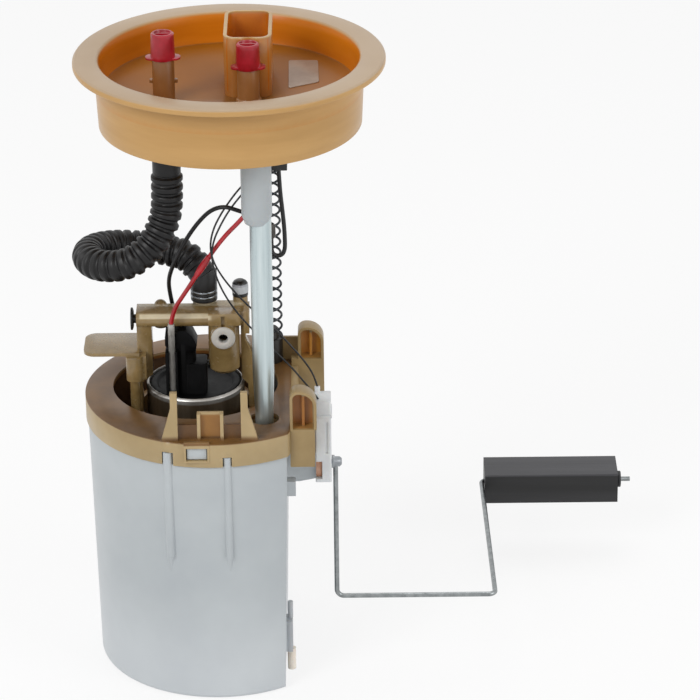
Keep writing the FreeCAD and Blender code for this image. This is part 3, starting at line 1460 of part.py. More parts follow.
def make_sender():
    """Sender housing with its crown, wire lug, pivot bore and the window that shows the resistor card."""
    left, right = d.sender_left, d.sender_left + d.sender_width
    front, back = d.sender_y - d.sender_depth / 2, d.sender_y + d.sender_depth / 2
    low, high = d.sender_bottom, d.sender_top
    pivot = d.pivot_height
    shell = block("sender_shell", left, right, front, back, low, high)
    shell_round = rounded("sender_shell_round", shell, d.sender_edge, is_upright)
    stand = d.crown_stand
    crown = block("sender_crown", left, right + stand, front - stand, back + stand, high - d.crown_drop,
                  high - d.crown_drop + d.crown_height)
    lug_back = back - d.lug_margin
    lug = block("sender_lug", left, left + d.lug_side, lug_back - d.lug_side, lug_back, high - OVER,
                high + d.lug_rise)
    body = fuse("sender_body", shell_round, crown, lug)
    bore = cylinder("sender_bore", d.arm_radius + d.running_gap, d.bore_depth + OVER, right - d.bore_depth,
                    d.sender_y, pivot, ALONG_X)
    card_back = d.sender_y - d.card_front
    card_right = left + d.card_margin + d.card_width
    window = block("sender_window", left - OVER, card_right + d.card_margin, front - OVER, card_back,
                   pivot - d.card_below_pivot, pivot + d.card_above_pivot)
    groove_left = right - d.groove_edge
    groove = block("sender_groove", groove_left, groove_left + d.groove_width, front - OVER,
                   front + d.groove_depth, low + d.groove_low, high - d.groove_high)
    keep("sender_housing", cut("sender_housing", body, bore, window, groove))
    keep("sender_card", block("sender_card", left + d.card_margin, card_right, card_back - d.card_thickness,
                              card_back, pivot - d.card_below_pivot + d.card_margin,
                              pivot + d.card_above_pivot - d.card_margin))


def make_float_arm():
    """Wire arm bent down from the pivot, along, back and through the float, and the hub that clamps it."""
    right = d.sender_left + d.sender_width
    hub_left = right + d.hub_gap
    waist = d.hub_radius - d.hub_waist
    bore = d.arm_radius + d.running_gap
    hub = turned("pivot_hub", [
        (bore, 0), (d.hub_radius, 0), (d.hub_radius, d.hub_collar), (waist, d.hub_collar),
        (waist, d.hub_width - d.hub_bevel_height), (waist - d.hub_bevel, d.hub_width),
        (bore, d.hub_width)], hub_left, d.sender_y, d.pivot_height, ALONG_X)
    leg_x = hub_left + d.arm_first_bend
    slot = block("hub_slot", right, hub_left + d.hub_width + OVER, d.sender_y - bore, d.sender_y + bore,
                 d.pivot_height - d.hub_radius - OVER, d.pivot_height)
    keep("pivot_hub", cut("pivot_hub_slotted", hub, slot))
    low = d.pivot_height - d.arm_drop
    reach = leg_x + d.arm_reach
    back = d.sender_y + d.arm_back
    points = [at(right - d.arm_hold, d.sender_y, d.pivot_height), at(leg_x, d.sender_y, d.pivot_height),
              at(leg_x, d.sender_y, low), at(reach + d.arm_drift, d.sender_y, low), at(reach, back, low),
              at(reach + d.arm_side, back, low)]
    bend = d.arm_bend.number
    swept("float_arm", points, d.arm_radius, [d.arm_first_bend.number, bend, bend, bend])
    return reach, back, low


def make_float(reach, back, low):
    """Foam float on the arm's end, and the washer that keeps it there."""
    left = reach + d.float_gap
    half_depth, half_height = d.float_depth / 2, d.float_height / 2
    box = block("float_box", left, left + d.float_length, back - half_depth, back + half_depth,
                low - half_height, low + half_height)
    soft = rounded("float_soft", box, d.float_edge, runs_along(Vector(1, 0, 0)))
    bore = cylinder("float_bore", d.arm_radius + d.running_gap, d.float_length + 2 * OVER, left - OVER, back,
                    low, ALONG_X)
    keep("float", cut("float", soft, bore))
    washer = turned("float_washer", [
        (d.arm_radius, 0), (d.washer_radius, 0), (d.washer_radius, d.washer_thickness),
        (d.arm_radius, d.washer_thickness)], left + d.float_length + d.washer_gap, back, low, ALONG_X)
    keep("float_washer", washer)


# Tank flange

def make_flange():
    """Round dish: a flat rim, a deep bowl and a short skirt below the bowl's floor."""
    edge = d.rim_edge
    inner = d.wall_bottom_radius - d.skirt_wall
    rim_under = d.rim_top - d.rim_thickness
    dish = turned("flange_dish", [
        (0, d.flange_under), (inner, d.flange_under), (inner, d.skirt_bottom),
        (d.wall_bottom_radius, d.skirt_bottom), (d.wall_top_radius, rim_under), (d.rim_radius, rim_under),
        (d.rim_radius, d.rim_top - edge), (d.rim_radius - edge, d.rim_top), (d.bowl_radius + edge, d.rim_top),
        (d.bowl_radius, d.rim_top - edge), (d.bowl_floor_radius, d.bowl_floor), (0, d.bowl_floor)],
        d.flange_x, 0, 0)
    hole_depth = d.floor_thickness + 2 * OVER
    holes = [cylinder(f"flange_{side}_hole", d.spigot_radius, hole_depth, x, y, d.flange_under - OVER)
             for side, x, y in (("supply", d.supply_x, d.supply_y), ("return", d.return_x, d.return_y))]
    keep("tank_flange", cut("tank_flange", dish, *holes))


def make_nipple(side, x, y, height, spigot, cap_height):
    """Tube through the flange's floor: a seat for the cap above, a spigot below."""
    floor = d.bowl_floor
    seat = floor + height
    tip = seat + cap_height - d.cap_roof - d.tip_gap
    low = d.flange_under - spigot
    collar = floor + d.nipple_collar
    stem = turned(f"{side}_stem", [
        (d.nipple_bore, low), (d.spigot_radius - d.spigot_bevel, low),
        (d.spigot_radius, low + d.spigot_bevel_height), (d.spigot_radius, floor), (d.nipple_foot, floor),
        (d.nipple_foot, collar), (d.nipple_radius, collar + d.nipple_slope), (d.nipple_radius, seat),
        (d.nipple_tip, seat), (d.nipple_tip, tip - d.tip_bevel_height), (d.nipple_tip - d.tip_bevel, tip),
        (d.nipple_bore, tip)], x, y, 0)
    if side == "return":
        return keep(f"{side}_nipple", stem)
    nub_low = floor + d.nub_height
    reach = d.nipple_radius + d.nub_reach
    nubs = block(f"{side}_nubs", x - reach, x + reach, y - d.nub_side / 2, y + d.nub_side / 2, nub_low,
                 nub_low + d.nub_rise)
    inside = cylinder(f"{side}_way", d.nipple_radius - SINK, d.nub_rise + 2 * OVER, x, y, nub_low - OVER)
    return keep(f"{side}_nipple", fuse(f"{side}_nipple", stem, cut(f"{side}_nub_pair", nubs, inside)))


def make_cap(side, x, y, height, cap_height):
    """Push-on transport cap with two thin ears at its foot and a recessed cross on top."""
    low = d.bowl_floor + height + d.pin_gap
    top = low + cap_height
    bore = d.nipple_tip + d.cap_bore_gap
    recess = top - d.cap_recess
    roof = recess - d.cap_roof + d.roof_drop
    outer = d.transport_cap_high
    rim = outer - d.cap_edge
    cap = turned(f"{side}_cap_body", [
        (bore, low), (d.transport_cap_low, low), (outer, top - d.cap_shoulder), (outer - d.cap_shoulder, top),
        (rim, top), (rim - d.recess_bevel, recess), (0, recess), (0, roof), (bore, roof)], x, y, 0)
    half_width = d.ear_width / 2
    plate_box = block(f"{side}_cap_plate", x - d.ear_reach, x + d.ear_reach, y - half_width, y + half_width,
                      low, low + d.ear_thickness)
    ears = rounded(f"{side}_cap_ears", plate_box, half_width - d.ear_round_margin, is_upright)
    core = cylinder(f"{side}_cap_core", bore + d.ear_sink, cap_height, x, y, low)
    cross = block(f"{side}_cap_cross", x - rim, x + rim, y - d.cross_width / 2, y + d.cross_width / 2,
                  top - d.cross_below, top - d.cross_above)
    keep(f"{side}_cap", fuse(f"{side}_cap", cap, cut(f"{side}_ear_pair", ears, core), cross))


def make_connector():
    """Rectangular plug socket moulded on the bowl floor, and its four blades."""
    x_low, x_high = d.socket_x - d.socket_width / 2, d.socket_x + d.socket_width / 2
    y_low, y_high = d.socket_front, d.socket_front + d.socket_length
    z_low, z_high = d.bowl_floor, d.bowl_floor + d.socket_height
    wall = d.socket_wall
    inner_low = z_low + d.socket_floor
    outer_box = block("socket_outer_box", x_low, x_high, y_low, y_high, z_low, z_high)
    outer = rounded("socket_outer", outer_box, d.socket_corner, is_upright)
    inner_box = block("socket_inner_box", x_low + wall, x_high - wall, y_low + wall, y_high - wall, inner_low,
                      z_high + OVER)
    inner = rounded("socket_inner", inner_box, d.socket_corner - wall, is_upright)
    notch = cylinder("socket_notch", d.nipple_foot, FAR + d.socket_height, d.return_x, d.return_y, z_low - OVER)
    keep("connector_socket", cut("connector_socket", outer, inner, notch))
    half_width, half_thickness = d.terminal_pin_width / 2, d.terminal_pin_thickness / 2
    middle = (y_low + y_high) / 2
    blades = []
    rows = int(d.terminal_rows.number)
    for row in range(rows):
        y = middle + (row - (rows - 1) / 2) * d.terminal_pitch
        blades.append(block(f"blade_{row}", d.socket_x - half_width, d.socket_x + half_width,
                            y - half_thickness, y + half_thickness, inner_low,
                            inner_low + d.terminal_pin_length))
    keep("connector_blades", group("connector_blades", *blades))


# Guide tube and return spring

def make_guide():
    x, y = d.guide_x, d.guide_y
    tip = d.sleeve_bottom - d.sleeve_taper
    outside = turned("sleeve_outside", [
        (0, tip), (d.sleeve_radius - d.sleeve_edge, tip), (d.sleeve_radius, d.sleeve_bottom),
        (d.sleeve_radius, d.flange_under), (0, d.flange_under)], d.sleeve_x, y, 0)
    bore = cylinder("sleeve_bore", d.tube_radius, d.flange_under - tip + 2 * OVER, x, y, tip - OVER)
    keep("guide_sleeve", cut("guide_sleeve", outside, bore))
    wall = d.guide_wall
    tube = turned("guide_tube", [
        (d.rod_radius - wall, d.rod_bottom), (d.rod_radius, d.rod_bottom), (d.rod_radius, d.swage_low),
        (d.tube_radius, d.swage_high), (d.tube_radius, d.flange_under), (d.tube_radius - wall, d.flange_under),
        (d.tube_radius - wall, d.swage_high), (d.rod_radius - wall, d.swage_low)], x, y, 0)
    keep("guide_tube", tube)


def make_spring():
    x, y = d.spring_x, d.spring_y
    low = d.ring_top + d.seat_height
    pin_top = low + d.seat_pin
    seat = turned("spring_seat", [
        (0, d.ring_top), (d.seat_radius, d.ring_top), (d.seat_radius, low), (d.seat_pin_radius, low),
        (d.seat_pin_radius, pin_top - d.seat_pin_bevel), (d.seat_pin_radius - d.seat_pin_bevel, pin_top),
        (0, pin_top)], x, y, 0)
    keep("spring_seat", seat)
    top_seat = d.flange_under - d.spring_cup_depth
    cup_radius = d.seat_radius + d.cup_margin
    pin_low = top_seat - d.cup_pin
    cup = turned("spring_cup", [
        (0, pin_low), (d.seat_pin_radius, pin_low), (d.seat_pin_radius, top_seat),
        (cup_radius, top_seat), (cup_radius, d.flange_under), (0, d.flange_under)], x, y, 0)
    keep("spring_cup", cup)
    wire, coil_radius = d.spring_wire, d.spring_radius
    side = wire * round(math.sqrt(3) / 2, 4)
    body = doc.addObject("PartDesign::Body", "return_spring")
    section = outline(body, "XZ_Plane", [
        (coil_radius, wire), (coil_radius - side, wire / 2), (coil_radius - side, -wire / 2),
        (coil_radius, -wire), (coil_radius + side, -wire / 2), (coil_radius + side, wire / 2)],
        "spring_section")
    coil = body.newObject("PartDesign::AdditiveHelix", "spring_coil")
    coil.Profile = section
    coil.ReferenceAxis = (section, ["V_Axis"])
    coil.Mode = "height-turns-angle"
    set_sizes(coil, Height=top_seat - low - wire * 2, Turns=d.spring_turns)
    keep("return_spring", move_to(body, x, y, low + wire))


# Hose, leads and plug

def hose_route():
    x, y, top = d.supply_x, d.supply_y, d.cuff_low
    end = d.bar_top + d.fitting_height + d.hose_seat
    return [at(x, y, top), at(x, y, top - 11.0), (-18.4, -20.0, 218.2), (-24.6, -24.0, 206.2),
            (-35.4, -26.6, 198.9), (-48.0, -20.8, 195.9), (-54.6, -8.6, 195.0), (-52.8, 4.2, 193.8),
            (-44.2, 13.6, 191.6), (-32.5, 17.6, 189.4), (-20.2, 16.2, 187.6),
            at(d.fitting_x - 5.6, d.fitting_y + 3.4, end + 7.9), at(d.fitting_x, d.fitting_y, end)]


def terminal_end():
    """Height just above the terminals' crimps where the leads end."""
    return d.cap_top + d.terminal_height + d.crimp_length - d.crimp_overlap + d.soft_gap


def lead_start():
    """Height just below the lead plug where the leads begin."""
    return d.plug_low - d.soft_gap


def black_lead_route():
    return [at(30.2, -18.0, lead_start()), (30.6, -18.0, 230.0), (31.6, -18.0, 220.0), (32.4, -18.2, 210.2),
            (32.4, -18.3, 199.3), (26.6, -18.3, 199.3), (26.6, -18.3, 206.2), (26.4, -18.5, 216.4),
            (20.6, -19.4, 218.4), (13.4, -20.4, 221.0), (7.2, -22.6, 224.4), (1.0, -18.6, 221.3),
            (-4.8, -14.0, 213.8), (-10.1, -10.4, 204.9), (-14.1, -7.6, 196.6), (-17.2, -4.0, 188.6),
            (-19.4, 1.6, 180.4), (-19.6, 7.2, 172.0), at(d.terminal_x, d.terminal_back_y, terminal_end())]


def red_lead_route():
    return [at(21.4, -19.4, lead_start()), (21.4, -20.0, 231.5), (19.0, -22.2, 224.2), (13.0, -23.2, 217.3),
            (6.8, -21.6, 210.4), (0.3, -18.6, 200.5), (-6.6, -16.4, 189.0), (-12.6, -14.0, 178.7),
            (-17.0, -11.0, 171.0), at(d.terminal_x, d.terminal_front_y, terminal_end())]


def sender_wire_a_route():
    return [at(23.4, -17.2, lead_start()), (18.9, -17.6, 236.0), (13.7, -18.6, 231.4), (9.3, -19.6, 226.0),
            (5.0, -20.2, 219.6), (1.5, -20.6, 212.6), (0.0, -20.8, 205.0), (1.2, -20.4, 197.8),
            (4.9, -18.6, 189.6), (10.2, -16.8, 181.4), (16.2, -16.6, 174.6), (22.4, -18.6, 169.6),
            (28.0, -20.6, 164.8), (36.0, -22.5, 156.2), (41.4, -22.4, 148.9), (44.4, -22.0, 142.8),
            at(d.sender_left + 1.2, d.sender_y + 3.5, d.sender_top + d.lug_rise + d.soft_gap)]


def sender_wire_b_route():
    return [at(25.6, -16.8, lead_start()), (19.6, -17.2, 233.8), (13.8, -18.6, 227.6), (8.6, -19.8, 221.2),
            (4.7, -20.4, 214.4), (1.7, -21.6, 208.0), (0.7, -22.2, 201.7), (1.4, -21.8, 194.9),
            (4.2, -19.4, 184.6), (9.4, -17.6, 174.2), (16.4, -18.0, 165.4), (25.0, -21.4, 157.4),
            (33.4, -25.0, 150.4), (39.6, -27.8, 143.6), (43.6, -28.4, 138.6),
            at(d.sender_left + 1.6, d.sender_y - 3.5, d.sender_top + d.soft_gap)]


def make_cords():
    swept("corrugated_hose", hose_route(), d.hose_radius)
    swept("black_lead", black_lead_route(), d.lead_radius)
    swept("red_lead", red_lead_route(), d.red_radius)
    swept("sender_wire_a", sender_wire_a_route(), d.sender_wire_radius)
    swept("sender_wire_b", sender_wire_b_route(), d.sender_wire_radius)


def make_splices():
    """Crimped splice on the black lead and shrink sleeve on the red one."""
    foot, head = Vector(*black_lead_route()[6]), Vector(*black_lead_route()[7])
    bore = d.lead_radius + d.cord_gap
    black = turned("black_splice", [
        (bore, 0), (d.black_splice_radius, 0), (d.black_splice_radius, d.black_splice_length),
        (bore, d.black_splice_length)], foot.x, foot.y, foot.z + d.black_splice_start,
        Rotation(Vector(0, 0, 1), head - foot))
    keep("black_splice", black)
    foot, head = Vector(*red_lead_route()[6]), Vector(*red_lead_route()[5])
    along = (head - foot).normalize()
    low = foot + along * d.red_splice_start.number
    bore = d.red_radius + d.cord_gap
    red = turned("red_splice", [
        (bore, 0), (d.splice_radius, 0), (d.splice_radius, d.red_splice_length), (bore, d.red_splice_length)],
        low.x, low.y, low.z, Rotation(Vector(0, 0, 1), along))
    keep("red_splice", red)


def make_cuff():
    """Smooth cuff of the hose around the supply spigot."""
    low = d.cuff_low
    high = low + d.cuff_height
    spigot_end = d.flange_under - d.supply_spigot
    top = high + d.cuff_edge
    cuff = turned("hose_cuff", [
        (0, low), (d.cuff_radius, low), (d.cuff_radius, high), (d.cuff_radius - d.cuff_edge, top),
        (d.spigot_radius, top), (d.spigot_radius, spigot_end), (0, spigot_end)], d.supply_x, d.supply_y, 0)
    keep("hose_cuff", cuff)


def make_lead_plug():
    """Plug under the flange that all leads leave from."""
    body_top = d.plug_low + d.plug_height
    body = block("plug_body", d.plug_left, d.plug_right, d.plug_front, d.plug_back, d.plug_low, body_top)
    stem = block("plug_stem", d.plug_left + d.stem_left, d.plug_right - d.stem_right,
                 d.plug_front + d.stem_margin, d.plug_back - d.stem_margin, body_top - OVER, d.flange_under)
    keep("lead_plug", fuse("lead_plug", body, stem))


def make_jet_pump():
    """Jet pump on its pad at the pot's foot, with the nozzle below it."""
    x = d.cup_flat_foot + d.pad_depth
    y = d.jet_y
    half = d.jet_width / 2
    body = block("jet_body", x, x + d.jet_depth, y - half, y + half, d.jet_low, d.jet_high)
    pipe = cylinder("jet_pipe", d.jet_pipe_radius, d.jet_pipe_length, x + d.jet_pipe_radius + d.jet_pipe_wall,
                    y + d.jet_pipe_shift, d.jet_high)
    keep("jet_pump", fuse("jet_pump", body, pipe))
    nozzle = turned("jet_nozzle", [
        (0, d.nozzle_low), (d.nozzle_radius, d.nozzle_low), (d.nozzle_radius, d.jet_low), (0, d.jet_low)],
        x + d.nozzle_radius, y, 0)
    keep("jet_nozzle", nozzle)


# Build order

make_cup()
make_ring()
make_guide_socket()
make_casing()
make_end_cap()
make_terminals()
make_inlet_cover()
make_rotor()
make_stator()
make_holder()
make_strainer()
plug_height, tube_y = make_bridge()
make_valve_pieces(plug_height)
make_end_pin(tube_y)
make_fittings()
make_bracket()
make_sender()
make_float(*make_float_arm())
make_flange()
make_nipple("supply", d.supply_x, d.supply_y, d.supply_height, d.supply_spigot, d.supply_cap)
make_nipple("return", d.return_x, d.return_y, d.return_height, d.return_spigot, d.return_cap)
make_cap("supply", d.supply_x, d.supply_y, d.supply_height, d.supply_cap)
make_cap("return", d.return_x, d.return_y, d.return_height, d.return_cap)
make_connector()
make_guide()
make_spring()
make_cords()
make_splices()
make_cuff()
make_lead_plug()
make_jet_pump()

doc.recompute()

# Checks and files

failed = [item.Label for item in doc.Objects if "Invalid" in item.State or "Error" in item.State]
if failed:
    raise RuntimeError("failed: " + ", ".join(failed))
for node, item in parts.items():
    if item.Shape.isNull() or not item.Shape.isValid() or item.Shape.Volume <= 0:
        raise RuntimeError(f"{node} has no valid shape")

os.makedirs("parts", exist_ok=True)
for node, item in parts.items():
    item.Shape.exportStep(f"parts/{node}.step")
    box = item.Shape.BoundBox
    print(f"{node}: {len(item.Shape.Solids)} solids, {item.Shape.Volume / 1000:.2f} cm3, "
          f"z {box.ZMin:.1f} to {box.ZMax:.1f}")
print(len(parts), "nodes")
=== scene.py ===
import json
import math

import bpy
from mathutils import Matrix, Vector


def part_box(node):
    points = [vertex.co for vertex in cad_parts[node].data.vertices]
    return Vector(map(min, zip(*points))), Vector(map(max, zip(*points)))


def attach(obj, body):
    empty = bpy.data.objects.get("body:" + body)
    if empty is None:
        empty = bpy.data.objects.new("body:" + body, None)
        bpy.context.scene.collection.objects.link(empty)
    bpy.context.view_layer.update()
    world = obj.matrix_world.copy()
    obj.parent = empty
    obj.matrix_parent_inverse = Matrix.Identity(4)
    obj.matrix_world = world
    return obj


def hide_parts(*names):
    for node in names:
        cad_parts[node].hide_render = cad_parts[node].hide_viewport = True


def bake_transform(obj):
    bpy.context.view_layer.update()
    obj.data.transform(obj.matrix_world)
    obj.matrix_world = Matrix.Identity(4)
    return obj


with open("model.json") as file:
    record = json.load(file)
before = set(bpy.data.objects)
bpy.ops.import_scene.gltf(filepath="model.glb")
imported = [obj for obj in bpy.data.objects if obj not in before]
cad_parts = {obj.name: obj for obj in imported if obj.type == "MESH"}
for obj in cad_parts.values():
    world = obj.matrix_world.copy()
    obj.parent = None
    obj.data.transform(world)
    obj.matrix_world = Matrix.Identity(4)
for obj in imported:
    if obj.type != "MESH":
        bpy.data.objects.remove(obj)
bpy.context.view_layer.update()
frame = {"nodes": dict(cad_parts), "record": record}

MM = 0.001
WHITE = (1, 1, 1, 1)
scene = bpy.context.scene


# Camera at the photograph's viewpoint

ELEVATION = math.radians(24.69)
ROLL = math.radians(-0.594)
DISTANCE = 1.60423
TARGET = Vector((0.060014, 0.0, 0.14557))
SENSOR_WIDTH = 36
FOCAL_LENGTH = 186.13
CLIP_START = 0.1
CLIP_END = 20


def make_camera():
    """The camera stands in front of the part and above it, rolled a little as in the photograph."""
    up = Vector((0, math.sin(ELEVATION), math.cos(ELEVATION)))
    back = Vector((0, -math.cos(ELEVATION), math.sin(ELEVATION)))
    side = Vector((1, 0, 0))
    camera_x = side * math.cos(ROLL) + up * math.sin(ROLL)
    camera_y = up * math.cos(ROLL) - side * math.sin(ROLL)
    turn = Matrix((camera_x, camera_y, back)).transposed()
    data = bpy.data.cameras.new("camera")
    data.sensor_fit = "HORIZONTAL"
    data.sensor_width = SENSOR_WIDTH
    data.lens = FOCAL_LENGTH
    data.clip_start = CLIP_START
    data.clip_end = CLIP_END
    camera = bpy.data.objects.new("camera", data)
    scene.collection.objects.link(camera)
    camera.matrix_world = Matrix.Translation(TARGET + back * DISTANCE) @ turn.to_4x4()
    scene.camera = camera


make_camera()


# Node helpers

def add_node(tree, kind, sockets, **settings):
    """A new node. Its sockets, by name or number, take a value or another node's output."""
    made = tree.nodes.new(kind)
    for name, value in settings.items():
        setattr(made, name, value)
    for key, value in sockets.items():
        if isinstance(value, bpy.types.NodeSocket):
            tree.links.new(value, made.inputs[key])
        else:
            made.inputs[key].default_value = value
    return made


def math_node(tree, operation, *values):
    """What one Math node makes of numbers and other nodes' outputs."""
    return add_node(tree, "ShaderNodeMath", dict(enumerate(values)), operation=operation).outputs["Value"]


def new_material(name):
    made = bpy.data.materials.new(name)
    made.use_nodes = True
    return made, made.node_tree, made.node_tree.nodes["Principled BSDF"]


# Finishes made of noise over the object's own coordinates

NOISE_ROUGHNESS = 0.6
CLOUD_DETAIL = 4.0
FINE_DETAIL = 3.0
CLOUD_START = 0.32
CLOUD_SPAN = 0.36
ZONE_START = 0.36
ZONE_END = 0.64
GLOSS_SCALE = 2.3
LEAST_ROUGHNESS = 0.02
GRAIN_STRENGTH = 0.35
GLOW_REACH = (0.006, 0.003, 0.0015)
EVEN = (1, 1, 1)


def noise_node(tree, place, scale, detail, stretch):
    """Noise of a scale per metre. A stretch below 1 draws it out along that axis."""
    mapping = add_node(tree, "ShaderNodeMapping", {"Vector": place, "Scale": stretch})
    texture = add_node(tree, "ShaderNodeTexNoise", {
        "Vector": mapping.outputs["Vector"], "Scale": scale, "Detail": detail,
        "Roughness": NOISE_ROUGHNESS})
    return texture.outputs["Fac"]


def linear(colour):
    """Screen colour 0-255 to linear."""
    result = []
    for value in colour:
        value = value / 255
        result.append(value / 12.92 if value <= 0.04045 else ((value + 0.055) / 1.055) ** 2.4)
    return tuple(result)


def ramp_node(tree, source, stops):
    """Screen colours mixed along a value, from stops of position and colour."""
    ramp = add_node(tree, "ShaderNodeValToRGB", {"Fac": source})
    elements = ramp.color_ramp.elements
    while len(elements) < len(stops):
        elements.new(0.5)
    for element, (position, colour) in zip(elements, stops):
        element.position = position
        element.color = (*linear(colour), 1)
    return ramp.outputs["Color"]


def distance_from(tree, apart, axis):
    """Distance from an upright axis that is given in millimetres."""
    squares = []
    for name, middle in zip("XY", axis):
        offset = math_node(tree, "SUBTRACT", apart.outputs[name], middle * MM)
        squares.append(math_node(tree, "MULTIPLY", offset, offset))
    return math_node(tree, "SQRT", math_node(tree, "ADD", *squares))


def soft_step(tree, value, start, end):
    """0 at the start and 1 at the end, both in millimetres, and smooth between."""
    limits = {"Value": value, "From Min": start * MM, "From Max": end * MM}
    step = add_node(tree, "ShaderNodeMapRange", limits, interpolation_type="SMOOTHSTEP")
    return step.outputs["Result"]


def zone(tree, place, colour, shade, limits):
    """Another colour where the object's own coordinates lie within soft limits in millimetres.
    A limit is (axis, from, full, until, gone). The axis is X, Y, Z or (x, y) for the distance around it."""
    apart = add_node(tree, "ShaderNodeSeparateXYZ", {"Vector": place})
    share = 1.0
    for axis, low, full, until, gone in limits:
        value = apart.outputs[axis] if isinstance(axis, str) else distance_from(tree, apart, axis)
        for start, end in ((low, full), (gone, until)):
            if start is not None:
                share = math_node(tree, "MULTIPLY", share, soft_step(tree, value, start, end))
    blend = add_node(tree, "ShaderNodeMix", {"Factor": share, 6: colour, 7: shade}, data_type="RGBA")
    return blend.outputs[2]


def surface(name, colours, rough, rough_spread, scale, fine, bump, metallic=0.0, stretch=EVEN, specular=0.5,
            coat=0.0, subsurface=0.0, zones=(), fine_stretch=EVEN):
    """A finish of two or three colours mixed by noise, with uneven gloss and a fine grain.
    The scales of the clouds and of the grain are per metre, the grain's height is in millimetres."""
    made, tree, shader = new_material(name)
    place = add_node(tree, "ShaderNodeTexCoord", {}).outputs["Object"]
    cloud = noise_node(tree, place, scale, CLOUD_DETAIL, stretch)
    last = len(colours) - 1
    colour = ramp_node(tree, cloud, [
        (CLOUD_START + CLOUD_SPAN * number / last, shade) for number, shade in enumerate(colours)])
    for (first, second), limits in zones:
        shade = ramp_node(tree, cloud, [(ZONE_START, first), (ZONE_END, second)])
        colour = zone(tree, place, colour, shade, limits)
    gloss = add_node(tree, "ShaderNodeMapRange", {
        "Value": noise_node(tree, place, scale * GLOSS_SCALE, FINE_DETAIL, stretch),
        "To Min": max(rough - rough_spread, LEAST_ROUGHNESS), "To Max": min(rough + rough_spread, 1.0)})
    grain = add_node(tree, "ShaderNodeBump", {
        "Height": noise_node(tree, place, fine, FINE_DETAIL, fine_stretch),
        "Strength": GRAIN_STRENGTH, "Distance": bump * MM})
    tree.links.new(colour, shader.inputs["Base Color"])
    tree.links.new(gloss.outputs["Result"], shader.inputs["Roughness"])
    tree.links.new(grain.outputs["Normal"], shader.inputs["Normal"])
    shader.inputs["Metallic"].default_value = metallic
    shader.inputs["Specular IOR Level"].default_value = specular
    shader.inputs["Coat Weight"].default_value = coat
    if subsurface:
        shader.inputs["Subsurface Weight"].default_value = subsurface
        shader.inputs["Subsurface Radius"].default_value = GLOW_REACH
        shader.inputs["Subsurface Scale"].default_value = 1.0
    return made


# Zones of another colour, in millimetres from the part's own origin

POT_AXIS = (0, 0)
FLANGE_AXIS = (9.6, 0.0)
HOSE_END_AXIS = (-4.3, 8.0)

# Top of the rim, wall of the bowl, floor of the bowl, sheen on the floor's front
FLANGE_ZONES = [
    (((170, 146, 118), (184, 162, 136)), [
        ("Z", 283.9, 284.6, None, None), (FLANGE_AXIS, 55.5, 57.0, None, None)]),
    (((190, 104, 10), (204, 118, 18)), [
        ("Z", 270.4, 271.0, 283.4, 284.6), (FLANGE_AXIS, None, None, 57.0, 57.6)]),
    (((136, 80, 12), (152, 94, 22)), [
        ("Z", 268.6, 269.4, 271.1, 271.6), (FLANGE_AXIS, None, None, 55.6, 57.2)]),
    (((116, 74, 32), (138, 94, 50)), [
        ("Z", 268.6, 269.4, 271.1, 271.6), ("Y", None, None, -24, 6), (FLANGE_AXIS, None, None, 50, 56)]),
]
# Top of the lid darkened by painted shade, fence, front of the raised bracket, wall of the opening darkened
# by painted shade
RING_ZONES = [
    # Painted shade: the flat top of the lid is darker, as little light falls on it
    (((92, 64, 32), (122, 88, 46)), [("Z", 127.2, 127.8, 128.3, 130.5)]),
    (((80, 52, 20), (106, 72, 32)), [
        ("Z", 127.2, 127.8, 134.4, 135.0), ("Y", -51.7, -51.5, -49.0, -48.0), ("X", -26, -24, 22, 24)]),
    (((120, 80, 32), (146, 102, 46)), [
        ("Z", 128.4, 129.4, 138.6, 140.0), ("Y", -51.7, -51.5, -49.9, -49.5), ("X", -5.0, -4.8, 3.6, 3.8)]),
    # Painted shade: the wall inside the opening is darker
    (((118, 76, 36), (138, 92, 46)), [
        ("Z", 116.0, 118.0, 126.6, 127.4), (POT_AXIS, None, None, 54.5, 56.0), ("X", None, None, 26, 28)]),
]
# Inside of the front arch, inside of the rear arch
BRACKET_ZONES = [
    (((150, 96, 28), (176, 112, 38)), [
        ("Y", -42.9, -42.4, -36.5, -35.5), ("Z", 127.4, 128.4, 141.4, 142.4),
        ("X", 34.5, 35.0, 43.2, 43.6)]),
    (((176, 118, 34), (200, 136, 46)), [
        ("Y", 24.1, 24.5, 30.2, 30.7), ("Z", 130.4, 131.4, 141.4, 142.4),
        ("X", 37.6, 38.2, 46.6, 47.0)]),
]
# Painted highlight as a pale strip along the beam's back, painted highlight as a pale lip along its front,
# legs and valve housing
BRIDGE_ZONES = [
    # Painted highlight along the beam's back
    (((172, 156, 124), (194, 180, 150)), [
        ("Z", 165.4, 166.0, 166.5, 167.4), ("X", -33.6, -32.6, 13.0, 14.0), ("Y", 2.4, 3.4, None, None)]),
    # Painted highlight along the beam's front lip
    (((188, 172, 138), (208, 194, 162)), [
        ("Z", 163.6, 164.4, 165.6, 166.6), ("X", -33.0, -32.0, -2.0, 0.0), ("Y", None, None, -4.6, -4.2)]),
    (((124, 102, 62), (146, 122, 80)), [("Z", 118.0, 119.0, 150.0, 160.0)]),
]
# Foot of the pot, painted shade on the inner wall, warmed by a painted reflection of the tan parts
CUP_ZONES = [
    (((191, 196, 200), (198, 203, 206)), [("Z", None, None, 6, 60)]),
    # Painted shade and painted reflection: the inner wall is darker and warm brown
    (((92, 64, 42), (118, 86, 60)), [
        (POT_AXIS, None, None, 54.3, 54.7), ("X", None, None, 24, 26), ("Z", 60, 100, None, None)]),
]
# Painted reflection darkening the side that faces the pump, painted reflection darkening the foot of the
# tube
TUBE_PAINTED_REFLECTIONS = [
    (((104, 100, 84), (130, 126, 110)), [("X", None, None, 19.2, 21.4), ("Z", 126, 134, 150, 172)]),
    (((136, 138, 130), (158, 160, 152)), [("Z", None, None, 124, 134)]),
]
